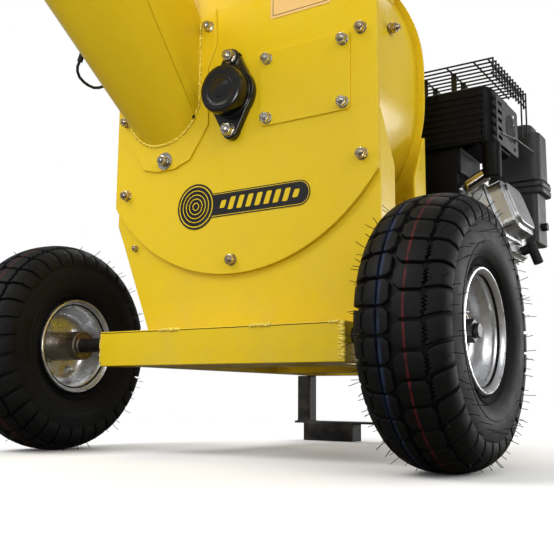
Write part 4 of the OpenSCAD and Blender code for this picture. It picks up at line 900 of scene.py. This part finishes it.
def buildFeed():
    refineYellow("chute_flange", 0.0011)
    buildChute()
    refineYellow("hopper_mouth", 0.0012, angle=40)
    low, high = box("feed_chute")
    edge = high.y - 0.001
    points = chuteProfile(0)
    path = [(x + (0.001 if x > chute["middle"] else -0.001), edge, min(z, 0.752) - 0.001) for x, z in points[1:23]]
    path += [(points[-3][0] + 0.0008, edge, points[-3][1]), (points[-3][0] + 0.0008, edge, 0.752)]
    bead = bmesh.new()
    addWeld(bead, path, 0.0034, 0.0042)
    # The chute's bead takes the lighter weld yellow, a painted highlight for its gloss.
    makePiece("chute_weld", bead, machine, "weldYellow", smooth=60)
    x, z = points[23]
    hole = bmesh.new()
    addBlock(hole, (x - 0.003, edge - 0.0045, z - 0.003), (x + 0.0012, edge - 0.001, z + 0.003), 0.001)
    makePiece("chute_seam_end", hole, machine, "gapShadow", smooth=0)
    end = chuteProfile(1)
    collar = bmesh.new()
    rings = [[collar.verts.new((x + (x - chute["middle"]) * grow, y, z)) for x, z in end]
             for grow, y in ((0.0, low.y + 0.002), (0.07, low.y + 0.002), (0.07, low.y - 0.002), (0.0, low.y - 0.002))]
    for a, b in zip(rings, rings[1:] + rings[:1]):
        for i in range(len(end) - 1):
            collar.faces.new((a[i], a[i + 1], b[i + 1], b[i]))
    bmesh.ops.recalc_face_normals(collar, faces=collar.faces)
    makePiece("mouth_collar", collar, machine, "chipperYellow", smooth=30)
    print("feed done")


def buildDischarge():
    refineYellow("discharge_chute", 0.0011, "discharge")
    refineYellow("deflector", 0.0008, "deflector")
    print("discharge done")


def buildDrive():
    refine("belt_guard", machine, "satinBlack", 0.0015)
    dress("v_belts", "softRubber")
    for name, body in (("rotor_pulley", "rotor"), ("engine_pulley", "crank"), ("rotor_shaft", "rotor"),
                       ("crankshaft", "crank"), ("flywheel", "rotor"), ("knives", "rotor")):
        refine(name, body, "groundSteel", 0.0008)
    print("drive done")


# Piece, material, slot and rounding of its edges.
engineParts = [
    ("crankcase", "satinBlack", "black_paint", 0.003), ("cylinder", "castAlloy", "cast_alloy", 0.0008),
    ("valve_cover", "polishedAlloy", "cast_alloy", 0.003), ("muffler", "heatBlack", "black_paint", 0.004),
    ("heat_shield", "shieldGrey", "black_paint", 0.0004), ("exhaust_pipe", "pipeChrome", "exhaust_chrome", 0.001),
    ("carburettor", "castAlloy", "cast_alloy", 0.002), ("air_cleaner_base", "grainPlastic", "black_plastic", 0.003),
    ("air_cleaner_cover", "grainPlastic", "black_plastic", 0.005),
    ("air_cleaner_knob", "smoothPlastic", "black_plastic", 0.001), ("fuel_tank", "glossBlack", "black_paint", 0.006),
    ("fan_cover", "satinBlack", "black_paint", 0.003), ("recoil_cover", "satinBlack", "black_paint", 0.002),
    ("spark_plug_boot", "softRubber", "rubber", 0.001),
]
ribs = {"count": 8, "pitch": 0.0115, "half": 0.0014, "bars": 7, "barPitch": 0.013, "barWide": 0.0045, "slant": 0.6}
shield = {"opening": 0.026, "along": 0.62, "stay": 0.0016}

def buildEngine():
    for name, material, slot, width in engineParts:
        refine(name, machine, material, width, 3)
    refine("fuel_cap", "tank_cap", "smoothPlastic", 0.0015)
    refine("starter_grip", "starter", "smoothPlastic", 0.004, 3)
    refine("engine_switch", "stop_switch", "switchRed", 0.001)
    refine("throttle_lever", "throttle", "smoothPlastic", 0.0015)
    buildMufflerRibs()
    buildShieldDetails()
    dress("muffler_guard", "satinBlack")
    dress("switch_cable", "softRubber")
    print("engine done")

def buildMufflerRibs():
    low, high = box("muffler")
    bm = bmesh.new()
    for k in range(ribs["count"]):
        z = high.z - 0.016 - k * ribs["pitch"]
        addBlock(bm, (low.x + 0.006, low.y - 0.0016, z - ribs["half"]),
                 (high.x - 0.022, low.y + 0.001, z + ribs["half"]), 0.0006)
    for k in range(ribs["bars"]):
        bar = bmesh.new()
        x = low.x + 0.012 + k * ribs["barPitch"]
        addBlock(bar, (x, low.y - 0.002, high.z - 0.013), (x + ribs["barWide"], low.y + 0.001, high.z - 0.003), 0.0006)
        for vert in bar.verts:
            vert.co.x += (vert.co.z - high.z) * ribs["slant"]
        joinInto(bm, bar)
    makePiece("muffler_ribs", bm, machine, "heatBlack", smooth=30)

def buildShieldDetails():
    # The shield's round opening, and the thin rod that holds it to the air cleaner.
    low, high = box("heat_shield")
    spot = Vector((high.x + 0.0002, low.y + (high.y - low.y) * shield["along"], low.z + (high.z - low.z) * 0.5))
    disc = bmesh.new()
    r = shield["opening"]
    addLathe(disc, [(-0.001, 0), (-0.001, r), (0.0004, r), (0.0004, 0)], spot, (1, 0, 0), 40)
    makePiece("shield_opening", disc, machine, "heatBlack", smooth=30)
    cleanerFront = box("air_cleaner_cover")[0].y
    stay = bmesh.new()
    addTube(stay, [(high.x + 0.002, low.y + 0.022, spot.z - 0.025),
                   (high.x + 0.0025, (low.y + cleanerFront) / 2, spot.z - 0.012),
                   (high.x + 0.002, cleanerFront + 0.035, spot.z - 0.004)], shield["stay"])
    makePiece("shield_stay", stay, machine, "darkSteel", smooth=40)


random.seed(7)
buildMaterials()
buildCamera()
buildStudio()
buildFloor()
buildWheels()
buildFasteners()
buildFrame()
buildChamber()
buildLabels()
buildFeed()
buildDischarge()
buildDrive()
buildEngine()
